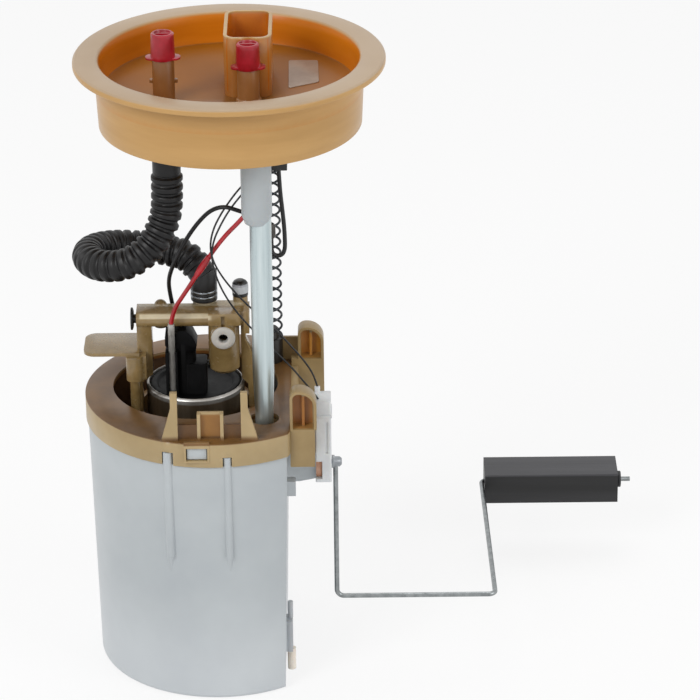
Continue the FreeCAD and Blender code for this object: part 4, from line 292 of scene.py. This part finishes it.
# Painted reflection lightening the top face of the float, painted light lightening the lower part of its
# sides
FLOAT_PAINTED_LIGHT = [
    (((44, 44, 48), (54, 54, 58)), [("Z", 42.0, 42.8, None, None)]),
    (((28, 28, 30), (38, 38, 40)), [("Z", None, None, 27.5, 36.0)]),
]
# Painted highlight making the end of the hose at its fitting paler
HOSE_PAINTED_HIGHLIGHT = [
    (((46, 47, 50), (66, 68, 72)), [
        ("Z", 178.0, 179.5, 182.0, 183.5), (HOSE_END_AXIS, None, None, 7.5, 9.0)]),
]
# Painted highlight as a pale ring around the stub's cap
STUB_PAINTED_HIGHLIGHT = [
    (((150, 152, 158), (178, 180, 186)), [("Z", 173.4, 173.6, 175.0, 175.4)]),
]
# Top edge of the plug socket paled by a painted highlight, inside of it
SOCKET_ZONES = [
    # Painted highlight: the top edge is paler
    (((170, 134, 78), (186, 150, 92)), [("Z", 297.0, 297.5, None, None)]),
    (((178, 96, 14), (196, 112, 24)), [
        ("X", 8.7, 9.2, 26.6, 27.1), ("Y", -13.5, -13.0, 19.8, 20.3), ("Z", 273.0, 274.0, 296.0, 297.0)]),
]
# Bright crimped rim of the pump can
CAN_ZONES = [
    (((160, 156, 150), (190, 188, 184)), [("Z", 126.6, 127.6, None, None)]),
]


# Finishes by material slot

MATERIALS = {
    "cup_plastic": surface(
        "pot_grey", [(172, 178, 182), (177, 183, 186), (182, 188, 191)], 0.34, 0.05, 18, 1500, 0.02,
        zones=CUP_ZONES),
    "tan_plastic": surface(
        "tan_acetal", [(150, 126, 86), (160, 135, 94), (168, 143, 101)], 0.36, 0.06, 40, 1500, 0.03,
        subsurface=0.03),
    "flange_plastic": surface(
        "flange_acetal", [(178, 139, 85), (187, 147, 93), (196, 156, 101)], 0.3, 0.05, 24, 1300, 0.02,
        zones=FLANGE_ZONES, specular=0.22, stretch=(0.35, 0.35, 3)),
    "red_plastic": surface(
        "cap_red", [(138, 8, 24), (154, 13, 32), (168, 22, 42)], 0.32, 0.06, 160, 1500, 0.02,
        coat=0.2, fine_stretch=(1, 1, 0.2)),
    "black_plastic": surface(
        "black_plastic", [(14, 14, 15), (21, 21, 22), (29, 29, 30)], 0.4, 0.1, 160, 1300, 0.05),
    # Its zone paints a highlight on the hose's end at the fitting
    "black_rubber": surface(
        "hose_rubber", [(9, 9, 10), (14, 13, 14), (20, 19, 20)], 0.44, 0.1, 150, 1300, 0.03,
        specular=0.36, zones=HOSE_PAINTED_HIGHLIGHT),
    # Its zones paint reflections of the pump and the tan parts onto the tube
    "zinc_steel": surface(
        "zinc_tube", [(176, 190, 193), (200, 212, 214), (220, 229, 230)], 0.3, 0.08, 160, 1500, 0.02,
        metallic=0.6, stretch=(1, 1, 0.04), zones=TUBE_PAINTED_REFLECTIONS),
    "white_plastic": surface(
        "white_plastic", [(184, 180, 172), (196, 192, 185), (206, 203, 197)], 0.4, 0.06, 60, 1300, 0.02,
        subsurface=0.05),
    "amber_plastic": surface(
        "amber_plastic", [(230, 218, 204), (238, 228, 214), (244, 236, 226)], 0.28, 0.05, 120, 1300, 0.01,
        subsurface=0.1),
    "steel": surface(
        "bright_steel", [(120, 123, 125), (142, 145, 147), (160, 163, 165)], 0.28, 0.08, 180, 1500, 0.02,
        metallic=1.0),
    "laminations": surface(
        "laminations", [(60, 60, 62), (80, 80, 82)], 0.5, 0.1, 200, 1500, 0.03, metallic=0.6),
    "magnet": surface(
        "magnet", [(40, 40, 42), (54, 54, 56)], 0.6, 0.1, 200, 1500, 0.03),
    "copper": surface(
        "copper", [(176, 112, 84), (196, 134, 104), (206, 152, 124)], 0.3, 0.1, 220, 1500, 0.02,
        metallic=0.7),
    "carbon": surface(
        "carbon", [(24, 24, 25), (34, 34, 35)], 0.6, 0.1, 200, 1500, 0.03),
    "mesh": surface(
        "strainer", [(180, 176, 160), (198, 194, 178)], 0.7, 0.1, 1500, 2500, 0.08),
    "sender_plastic": surface(
        "sender_white", [(208, 211, 213), (218, 221, 223), (226, 229, 230)], 0.38, 0.07, 90, 1300, 0.03,
        subsurface=0.04),
    # Its zones paint light onto the float's top face and the lower part of its sides
    "float_foam": surface(
        "float_rubber", [(14, 14, 15), (20, 20, 21), (27, 27, 29)], 0.42, 0.08, 160, 900, 0.1,
        stretch=(0.04, 1, 1), fine_stretch=(0.03, 1, 1), specular=0.45, zones=FLOAT_PAINTED_LIGHT),
    "red_wire": surface(
        "wire_red", [(150, 12, 22), (168, 20, 32), (182, 32, 42)], 0.3, 0.06, 120, 1300, 0.01, coat=0.2),
    "black_wire": surface(
        "wire_black", [(12, 12, 13), (18, 18, 20), (26, 26, 28)], 0.5, 0.08, 120, 1300, 0.02),
}


# Finishes of single nodes and of the bare plate

FINISHES = {
    "lid_ring": surface(
        "ring_acetal", [(160, 138, 98), (168, 146, 106), (177, 155, 115)], 0.36, 0.06, 34, 1500, 0.03,
        subsurface=0.04, zones=RING_ZONES),
    "sender_bracket": surface(
        "bracket_acetal", [(138, 115, 74), (149, 126, 84), (159, 136, 94)], 0.36, 0.06, 34, 1500, 0.03,
        subsurface=0.02, zones=BRACKET_ZONES),
    "bridge": surface(
        "bridge_acetal", [(128, 104, 64), (141, 117, 75), (154, 131, 89)], 0.26, 0.06, 90, 1500, 0.03,
        subsurface=0.03, coat=0.25, zones=BRIDGE_ZONES),
    "pump_holder": surface(
        "holder_acetal", [(106, 80, 44), (118, 90, 52)], 0.36, 0.06, 60, 1500, 0.03),
    # Painted shade and painted reflection: the black rubber dampers take the dark brown of the shaded
    # inside of the pot, warmed by the tan parts
    "pump_dampers": surface(
        "damper_painted_shade", [(34, 22, 14), (48, 32, 21), (62, 43, 28)], 0.5, 0.08, 90, 1300, 0.04),
    "pump_end_cap": surface(
        "cap_black", [(5, 5, 5), (9, 9, 10), (14, 14, 15)], 0.5, 0.1, 160, 1300, 0.04, specular=0.1),
    "sender_card": surface(
        "card_enamel", [(206, 150, 118), (219, 166, 136), (228, 180, 152)], 0.4, 0.08, 260, 1500, 0.02),
    "spring_seat": surface(
        "seat_black", [(26, 24, 22), (36, 32, 28), (44, 40, 36)], 0.4, 0.1, 160, 1300, 0.03),
    "connector_socket": surface(
        "socket_acetal", [(164, 106, 48), (176, 118, 58), (186, 130, 70)], 0.24, 0.05, 40, 1300, 0.02,
        subsurface=0.06, zones=SOCKET_ZONES, coat=0.2),
    "supply_nipple": surface(
        "nipple_acetal", [(122, 78, 38), (136, 91, 49)], 0.3, 0.05, 60, 1300, 0.02, subsurface=0.04),
    "return_nipple": surface(
        "nipple_acetal_b", [(134, 88, 46), (146, 100, 56)], 0.3, 0.05, 60, 1300, 0.02, subsurface=0.04),
    "guide_sleeve": surface(
        "sleeve_grey", [(164, 170, 173), (170, 176, 179), (176, 182, 184)], 0.42, 0.06, 30, 1300, 0.02,
        subsurface=0.05),
    "spring_cup": surface(
        "cup_grey", [(164, 168, 170), (176, 180, 182)], 0.42, 0.06, 60, 1300, 0.02),
    "pump_casing": surface(
        "can_steel", [(98, 84, 66), (114, 99, 80), (132, 118, 100)], 0.36, 0.08, 120, 1500, 0.02,
        metallic=0.9, stretch=(1, 1, 0.1), zones=CAN_ZONES),
    "return_spring": surface(
        "spring_steel", [(38, 41, 44), (54, 57, 60), (72, 75, 78)], 0.26, 0.08, 300, 1500, 0.01,
        metallic=1.0),
    "float_arm": surface(
        "arm_steel", [(124, 128, 129), (142, 146, 147), (156, 160, 161)], 0.3, 0.08, 300, 1500, 0.01,
        metallic=1.0),
    "pivot_hub": surface(
        "hub_grey", [(140, 144, 148), (160, 164, 168)], 0.3, 0.08, 200, 1500, 0.02, metallic=0.7),
    "positive_terminal": surface(
        "tin", [(126, 124, 118), (164, 162, 157), (192, 191, 187)], 0.42, 0.1, 420, 900, 0.06,
        metallic=0.35, stretch=(1, 1, 0.3), fine_stretch=(0.3, 0.3, 1)),
    "hose_clamps": surface(
        "band_steel", [(120, 124, 128), (150, 154, 158)], 0.24, 0.06, 260, 1500, 0.02, metallic=1.0),
    # Its zone paints a highlight ring around the cap
    "stub_cap": surface(
        "stub_black", [(12, 12, 13), (20, 20, 21), (28, 28, 30)], 0.34, 0.08, 200, 1300, 0.03,
        zones=STUB_PAINTED_HIGHLIGHT),
    "stub_band": surface(
        "band_white", [(176, 180, 184), (196, 200, 204)], 0.36, 0.06, 160, 1300, 0.02),
    "jet_pump": surface(
        "jet_white", [(176, 180, 184), (188, 192, 196)], 0.4, 0.06, 60, 1300, 0.02, subsurface=0.05),
    "black_splice": surface(
        "splice_dark", [(40, 38, 36), (62, 58, 54), (84, 80, 76)], 0.4, 0.1, 420, 900, 0.1),
    "float_washer": surface(
        "washer_rubber", [(14, 14, 16), (24, 24, 28)], 0.4, 0.1, 160, 1300, 0.03),
    "plate": surface(
        "bare_plate", [(146, 124, 106), (158, 137, 119), (168, 148, 131)], 0.4, 0.06, 90, 1500, 0.01),
}
MATERIALS.update({"finish_" + name: made for name, made in FINISHES.items()})


# Mesh helpers

PIECE_ANGLE = math.radians(40)


def smooth(data, angle):
    """Round shading, with an edge kept sharp where the faces meet at more than an angle."""
    for polygon in data.polygons:
        polygon.use_smooth = True
    data.set_sharp_from_angle(angle=angle)


def add_mesh(name, vertices, faces, material):
    data = bpy.data.meshes.new(name)
    data.from_pydata([tuple(vertex) for vertex in vertices], [], faces)
    data.update()
    data.materials.append(MATERIALS[material])
    smooth(data, PIECE_ANGLE)
    made = bpy.data.objects.new(name, data)
    scene.collection.objects.link(made)
    return made


def circle(centre, across, along, radius, sides):
    """Points around a centre, in the plane of two directions."""
    result = []
    for corner in range(sides):
        angle = math.tau * corner / sides
        result.append(centre + (across * math.cos(angle) + along * math.sin(angle)) * radius)
    return result


def band(first, second, count):
    """Faces between two rings of points, each ring given by its number."""
    result = []
    for corner in range(count):
        after = (corner + 1) % count
        result.append((first * count + corner, first * count + after, second * count + after,
                       second * count + corner))
    return result


# Cords and tubes

LINE_RESOLUTION = 12
CORD_STEP = 0.8
CORD_SIDES = 12
LAST_STEP_SHARE = 0.2


def centreline(name, points):
    """The route's smooth line, read back as points."""
    data = bpy.data.curves.new(name + "_line", "CURVE")
    data.dimensions = "3D"
    data.resolution_u = LINE_RESOLUTION
    spline = data.splines.new("NURBS")
    spline.points.add(len(points) - 1)
    for item, point in zip(spline.points, points):
        item.co = (point[0] * MM, point[1] * MM, point[2] * MM, 1)
    spline.order_u = 3
    spline.use_endpoint_u = True
    holder = bpy.data.objects.new(name + "_line", data)
    scene.collection.objects.link(holder)
    bpy.context.view_layer.update()
    line = bpy.data.meshes.new_from_object(holder)
    result = [vertex.co.copy() for vertex in line.vertices]
    bpy.data.objects.remove(holder)
    bpy.data.meshes.remove(line)
    return result


def resampled(line, step):
    """Points along a line at an even step, with the distance of each, and the line's length."""
    result = [(line[0].copy(), 0.0)]
    travelled = 0.0
    target = step
    for first, second in zip(line, line[1:]):
        length = (second - first).length
        while length > 0 and travelled + length >= target:
            share = (target - travelled) / length
            result.append((first.lerp(second, share), target))
            target += step
        travelled += length
    if travelled - result[-1][1] > step * LAST_STEP_SHARE:
        result.append((line[-1].copy(), travelled))
    return result, travelled


def tube_mesh(name, stations, radius, sides, material):
    """A tube through stations (point, distance), radius given by a function of the distance."""
    points = [station[0] for station in stations]
    last = len(points) - 1
    vertices = []
    faces = []
    tangent = (points[1] - points[0]).normalized()
    normal = tangent.orthogonal().normalized()
    for number, (point, distance) in enumerate(stations):
        following = (points[min(number + 1, last)] - points[max(number - 1, 0)]).normalized()
        normal = tangent.rotation_difference(following) @ normal
        normal = (normal - following * normal.dot(following)).normalized()
        tangent = following
        vertices += circle(point, normal, tangent.cross(normal), radius(distance), sides)
    for ring in range(last):
        faces += band(ring, ring + 1, sides)
    faces.append(tuple(reversed(range(sides))))
    faces.append(tuple(last * sides + corner for corner in range(sides)))
    return add_mesh(name, vertices, faces, material)


def soft_cord(name, node, points, diameter, material, bend_start, sides=CORD_SIDES, radius=None,
              step=CORD_STEP, reach=0.0, **facts):
    """A hose or lead between the pot and the flange, drawn as a tube along its line.
    Its skin may reach a little past its line, where it sits on what holds it."""
    line = centreline(name, points)
    stations, length = resampled(line, step * MM)
    if reach:
        onward = (line[-1] - line[-2]).normalized()
        stations.append((line[-1] + onward * reach * MM, length))
    shape = radius or (lambda distance: diameter / 2 * MM)
    made = tube_mesh(name, stations, shape, sides, material)
    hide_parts(node)
    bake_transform(made)


# Routes of the hose, leads and wires, from the flange to the pot

HOSE = [(-17.6, -19.4, 240.0), (-17.6, -19.4, 229.0), (-18.4, -20.0, 218.2), (-24.6, -24.0, 206.2),
        (-35.4, -26.6, 198.9), (-48.0, -20.8, 195.9), (-54.6, -8.6, 195.0), (-52.8, 4.2, 193.8),
        (-44.2, 13.6, 191.6), (-32.5, 17.6, 189.4), (-20.2, 16.2, 187.6), (-9.9, 11.4, 186.9),
        (-4.3, 8.0, 179.0)]
BLACK_LEAD = [(30.2, -18.0, 240.65), (30.6, -18.0, 230.0), (31.6, -18.0, 220.0), (32.4, -18.2, 210.2),
              (32.4, -18.3, 199.3), (26.6, -18.3, 199.3), (26.6, -18.3, 206.2), (26.4, -18.5, 216.4),
              (20.6, -19.4, 218.4), (13.4, -20.4, 221.0), (7.2, -22.6, 224.4), (1.0, -18.6, 221.3),
              (-4.8, -14.0, 213.8), (-10.1, -10.4, 204.9), (-14.1, -7.6, 196.6), (-17.2, -4.0, 188.6),
              (-19.4, 1.6, 180.4), (-19.6, 7.2, 172.0), (-18.4, 9.6, 163.75)]
RED_LEAD = [(21.4, -19.4, 240.65), (21.4, -20.0, 231.5), (19.0, -22.2, 224.2), (13.0, -23.2, 217.3),
            (6.8, -21.6, 210.4), (0.3, -18.6, 200.5), (-6.6, -16.4, 189.0), (-12.6, -14.0, 178.7),
            (-17.0, -11.0, 171.0), (-18.4, -9.6, 163.75)]
WIRE_A = [(23.4, -17.2, 240.65), (18.9, -17.6, 236.0), (13.7, -18.6, 231.4), (9.3, -19.6, 226.0),
          (5.0, -20.2, 219.6), (1.5, -20.6, 212.6), (0.0, -20.8, 205.0), (1.2, -20.4, 197.8),
          (4.9, -18.6, 189.6), (10.2, -16.8, 181.4), (16.2, -16.6, 174.6), (22.4, -18.6, 169.6),
          (28.0, -20.6, 164.8), (36.0, -22.5, 156.2), (41.4, -22.4, 148.9), (44.4, -22.0, 142.8),
          (45.5, -21.5, 138.15)]
WIRE_B = [(25.6, -16.8, 240.65), (19.6, -17.2, 233.8), (13.8, -18.6, 227.6), (8.6, -19.8, 221.2),
          (4.7, -20.4, 214.4), (1.7, -21.6, 208.0), (0.7, -22.2, 201.7), (1.4, -21.8, 194.9),
          (4.2, -19.4, 184.6), (9.4, -17.6, 174.2), (16.4, -18.0, 165.4), (25.0, -21.4, 157.4),
          (33.4, -25.0, 150.4), (39.6, -27.8, 143.6), (43.6, -28.4, 138.6), (45.9, -28.5, 135.25)]


# Corrugated hose

HOSE_DIAMETER = 13.8
HOSE_SIDES = 44
HOSE_STEP = 0.4
HOSE_SEAT = 0.27
PLAIN_END = 1.2
RIDGES_END = 141.0
PLAIN_START = 143.2
PLAIN_RADIUS = 6.1
GROOVE_RADIUS = 5.75
RIDGE_HEIGHT = 1.15
RIDGE_PITCH = 4.15
RIDGE_LIFT = 0.35
RIDGE_SQUARENESS = 2.6


def corrugation(distance):
    """Radius of the hose: a plain end, broad flat ridges with narrow grooves between, a plain end."""
    distance = distance / MM
    if distance < PLAIN_END:
        return PLAIN_RADIUS * MM
    wave = math.sin((distance - PLAIN_END) / RIDGE_PITCH * math.tau - math.pi / 2) + RIDGE_LIFT
    ridge = 0.5 + 0.5 * math.tanh(RIDGE_SQUARENESS * wave) / math.tanh(RIDGE_SQUARENESS * (1 + RIDGE_LIFT))
    ridged = GROOVE_RADIUS + RIDGE_HEIGHT * min(max(ridge, 0.0), 1.0)
    share = min(max((distance - RIDGES_END) / (PLAIN_START - RIDGES_END), 0.0), 1.0)
    share = share * share * (3 - 2 * share)
    return (ridged + (PLAIN_RADIUS - ridged) * share) * MM


soft_cord("hose", "corrugated_hose", HOSE, HOSE_DIAMETER, "black_rubber", bend_start=181,
          sides=HOSE_SIDES, radius=corrugation, step=HOSE_STEP, reach=HOSE_SEAT,
          stiffness="medium", lay="loose")


# Leads and sender wires

BLACK_DIAMETER = 1.9
RED_DIAMETER = 2.0
WIRE_DIAMETER = 0.84
WIRE_SIDES = 8
LEAD_BEND_START = 165

soft_cord("lead_black", "black_lead", BLACK_LEAD, BLACK_DIAMETER, "black_wire",
          bend_start=LEAD_BEND_START, stiffness="medium")
soft_cord("lead_red", "red_lead", RED_LEAD, RED_DIAMETER, "red_wire",
          bend_start=LEAD_BEND_START, stiffness="medium")
soft_cord("wire_a", "sender_wire_a", WIRE_A, WIRE_DIAMETER, "black_wire",
          bend_start=140, sides=WIRE_SIDES, stiffness="limp")
soft_cord("wire_b", "sender_wire_b", WIRE_B, WIRE_DIAMETER, "black_wire",
          bend_start=137, sides=WIRE_SIDES, stiffness="limp")


# Sleeves over the leads' splices

SLEEVE_SIDES = 24
SLEEVE_RINGS = 12
SLEEVE_BORE = 1.15


def sleeve_on(name, node, low, high, outer, material, taper, lip):
    """A short tube around a lead, between two points of its line.
    Its ends are drawn in to a lip over a share of its length, the taper."""
    low, high = Vector(low) * MM, Vector(high) * MM
    along = (high - low).normalized()
    across = along.orthogonal().normalized()
    edge = SLEEVE_BORE + lip
    profile = [(SLEEVE_BORE, 0.0)]
    for step in range(SLEEVE_RINGS + 1):
        share = step / SLEEVE_RINGS
        ease = min(share, 1 - share, taper) / taper
        profile.append((edge + (outer - edge) * ease * ease * (3 - 2 * ease), share))
    profile.append((SLEEVE_BORE, 1.0))
    vertices = []
    faces = []
    for radius, share in profile:
        vertices += circle(low.lerp(high, share), across, along.cross(across), radius * MM, SLEEVE_SIDES)
    for ring in range(len(profile)):
        faces += band(ring, (ring + 1) % len(profile), SLEEVE_SIDES)
    made = add_mesh(name, vertices, faces, material)
    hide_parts(node)
    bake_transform(made)


sleeve_on("splice_black", "black_splice", (26.57, -18.34, 207.6), (26.44, -18.47, 214.4),
          outer=1.95, material="finish_black_splice", taper=0.12, lip=0.15)
sleeve_on("splice_red", "red_splice", (-6.09, -16.56, 189.85), (-0.52, -18.35, 199.15),
          outer=1.55, material="red_wire", taper=0.35, lip=0.1)


# Return spring

SPRING_WIRE = 0.55
SPRING_TURNS = 24
TURN_STEPS = 28
SPRING_SIDES = 10


def coil_spring():
    """The return spring as a round wire, wound at an even pitch through the solid's box.
    The solid's wire is six-sided, with two flats towards the sides of its box."""
    low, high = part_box("return_spring")
    wire = SPRING_WIRE * MM
    middle = (low + high) / 2
    radius = (high.x - low.x) / 2 - wire * math.sqrt(3) / 2
    rise = high.z - low.z - 2 * wire
    count = SPRING_TURNS * TURN_STEPS
    stations = []
    for number in range(count + 1):
        angle = math.tau * number / TURN_STEPS
        height = low.z + wire + rise * number / count
        point = Vector((middle.x + radius * math.cos(angle), middle.y + radius * math.sin(angle), height))
        stations.append((point, radius * angle))
    made = tube_mesh("spring_coils", stations, lambda distance: wire, SPRING_SIDES, "finish_return_spring")
    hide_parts("return_spring")
    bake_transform(made)


coil_spring()


# Bare plate on the bowl's floor

PLATE_CORNERS = [(34.9, -4.6), (47.9, 2.6), (47.3, 29.4), (34.6, 29.8)]
PLATE_ROUND = 1.4
PLATE_ROUND_STEPS = 5
PLATE_LOW = 270.9
PLATE_EDGE = 271.3
PLATE_TOP = 271.38
PLATE_BEVEL = 0.12


def rounded_outline(corners, size, steps):
    """An outline whose corners are drawn as short curves."""
    result = []
    for number, here in enumerate(corners):
        before = corners[number - 1]
        after = corners[(number + 1) % len(corners)]
        first = here + (before - here).normalized() * size
        last = here + (after - here).normalized() * size
        for step in range(steps + 1):
            share = step / steps
            result.append(first.lerp(here, share).lerp(here.lerp(last, share), share))
    return result


def bare_plate():
    """A thin plate with a small bevel, which carries no marking."""
    corners = [Vector((*corner, 0)) for corner in PLATE_CORNERS]
    centre = sum(corners, Vector()) / len(corners)
    outline = rounded_outline(corners, PLATE_ROUND, PLATE_ROUND_STEPS)
    count = len(outline)
    vertices = []
    for height, inset in ((PLATE_LOW, 0.0), (PLATE_EDGE, 0.0), (PLATE_TOP, PLATE_BEVEL)):
        for point in outline:
            drawn = point + (centre - point).normalized() * inset
            vertices.append((drawn.x * MM, drawn.y * MM, height * MM))
    faces = band(0, 1, count) + band(1, 2, count)
    faces.append(tuple(range(2 * count, 3 * count)))
    faces.append(tuple(reversed(range(count))))
    made = add_mesh("bowl_plate", vertices, faces, "finish_plate")
    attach(made, "flange")


bare_plate()


# Finishes of the solids

SOLID_ANGLE = math.radians(35)
BEVEL_ANGLE = math.radians(40)
BEVEL_WIDTH = 0.35
WELD_REACH = 0.01


def dress(solid, material):
    """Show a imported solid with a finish, soft edges and smooth rounds."""
    solid.data.materials.clear()
    solid.data.materials.append(material)
    smooth(solid.data, SOLID_ANGLE)
    weld = solid.modifiers.new("weld", "WELD")
    weld.merge_threshold = WELD_REACH * MM
    edge = solid.modifiers.new("bevel", "BEVEL")
    edge.width = BEVEL_WIDTH * MM
    edge.segments = 2
    edge.limit_method = "ANGLE"
    edge.angle_limit = BEVEL_ANGLE
    edge.use_clamp_overlap = True
    edge.harden_normals = False


for part in frame["record"]["subparts"]:
    node = part["node"]
    dress(frame["nodes"][node], FINISHES.get(node, MATERIALS[part["material_slot"]]))


# Stage and light

FLOOR_REACH = 3
FLOOR_GREY = 0.9
FLOOR_ROUGHNESS = 0.9
FLOOR_GLOW = 0.8
SKY_STRENGTH = 0.5
LAMP_AIM = Vector((0.02, 0, 0.15))


def directly_seen(tree):
    """1 for what the camera, gloss and clear pieces see, 0 for what lights the part."""
    ray = add_node(tree, "ShaderNodeLightPath", {})
    seen = math_node(tree, "MAXIMUM", ray.outputs["Is Camera Ray"], ray.outputs["Is Glossy Ray"])
    return math_node(tree, "MAXIMUM", seen, ray.outputs["Is Transmission Ray"])


def make_floor():
    """A pale floor that looks nearly white and keeps the part's shadow."""
    reach = FLOOR_REACH
    data = bpy.data.meshes.new("floor")
    data.from_pydata([(-reach, -reach, 0), (reach, -reach, 0), (reach, reach, 0), (-reach, reach, 0)], [],
                     [(0, 1, 2, 3)])
    floor = bpy.data.objects.new("floor", data)
    scene.collection.objects.link(floor)
    paint, tree, shader = new_material("floor")
    shader.inputs["Base Color"].default_value = (FLOOR_GREY, FLOOR_GREY, FLOOR_GREY, 1)
    shader.inputs["Roughness"].default_value = FLOOR_ROUGHNESS
    glow = add_node(tree, "ShaderNodeEmission", {"Color": WHITE, "Strength": 1.0})
    mix = add_node(tree, "ShaderNodeMixShader", {
        0: math_node(tree, "MULTIPLY", directly_seen(tree), FLOOR_GLOW),
        1: shader.outputs["BSDF"], 2: glow.outputs["Emission"]})
    tree.links.new(mix.outputs["Shader"], tree.nodes["Material Output"].inputs["Surface"])
    data.materials.append(paint)


def make_world():
    """A white studio, dimmer as light than as background."""
    world = bpy.data.worlds.new("studio")
    scene.world = world
    world.use_nodes = True
    tree = world.node_tree
    tree.nodes.clear()
    light = add_node(tree, "ShaderNodeBackground", {"Color": WHITE, "Strength": SKY_STRENGTH})
    background = add_node(tree, "ShaderNodeBackground", {"Color": WHITE, "Strength": 1.0})
    mix = add_node(tree, "ShaderNodeMixShader", {
        0: directly_seen(tree), 1: light.outputs["Background"], 2: background.outputs["Background"]})
    add_node(tree, "ShaderNodeOutputWorld", {"Surface": mix.outputs["Shader"]})


def round_lamp(name, place, size, power):
    data = bpy.data.lights.new(name, "AREA")
    data.shape = "DISK"
    data.size = size
    data.energy = power
    made = bpy.data.objects.new(name, data)
    scene.collection.objects.link(made)
    made.location = place
    made.rotation_euler = (LAMP_AIM - Vector(place)).to_track_quat("-Z", "Y").to_euler()


make_floor()
make_world()
round_lamp("key", (-0.9, -1.1, 1.2), size=0.8, power=13)
round_lamp("fill", (1.3, -0.8, 0.8), size=1.0, power=7)
round_lamp("top", (0.0, 0.5, 1.6), size=1.0, power=5)
scene.view_settings.view_transform = "Standard"
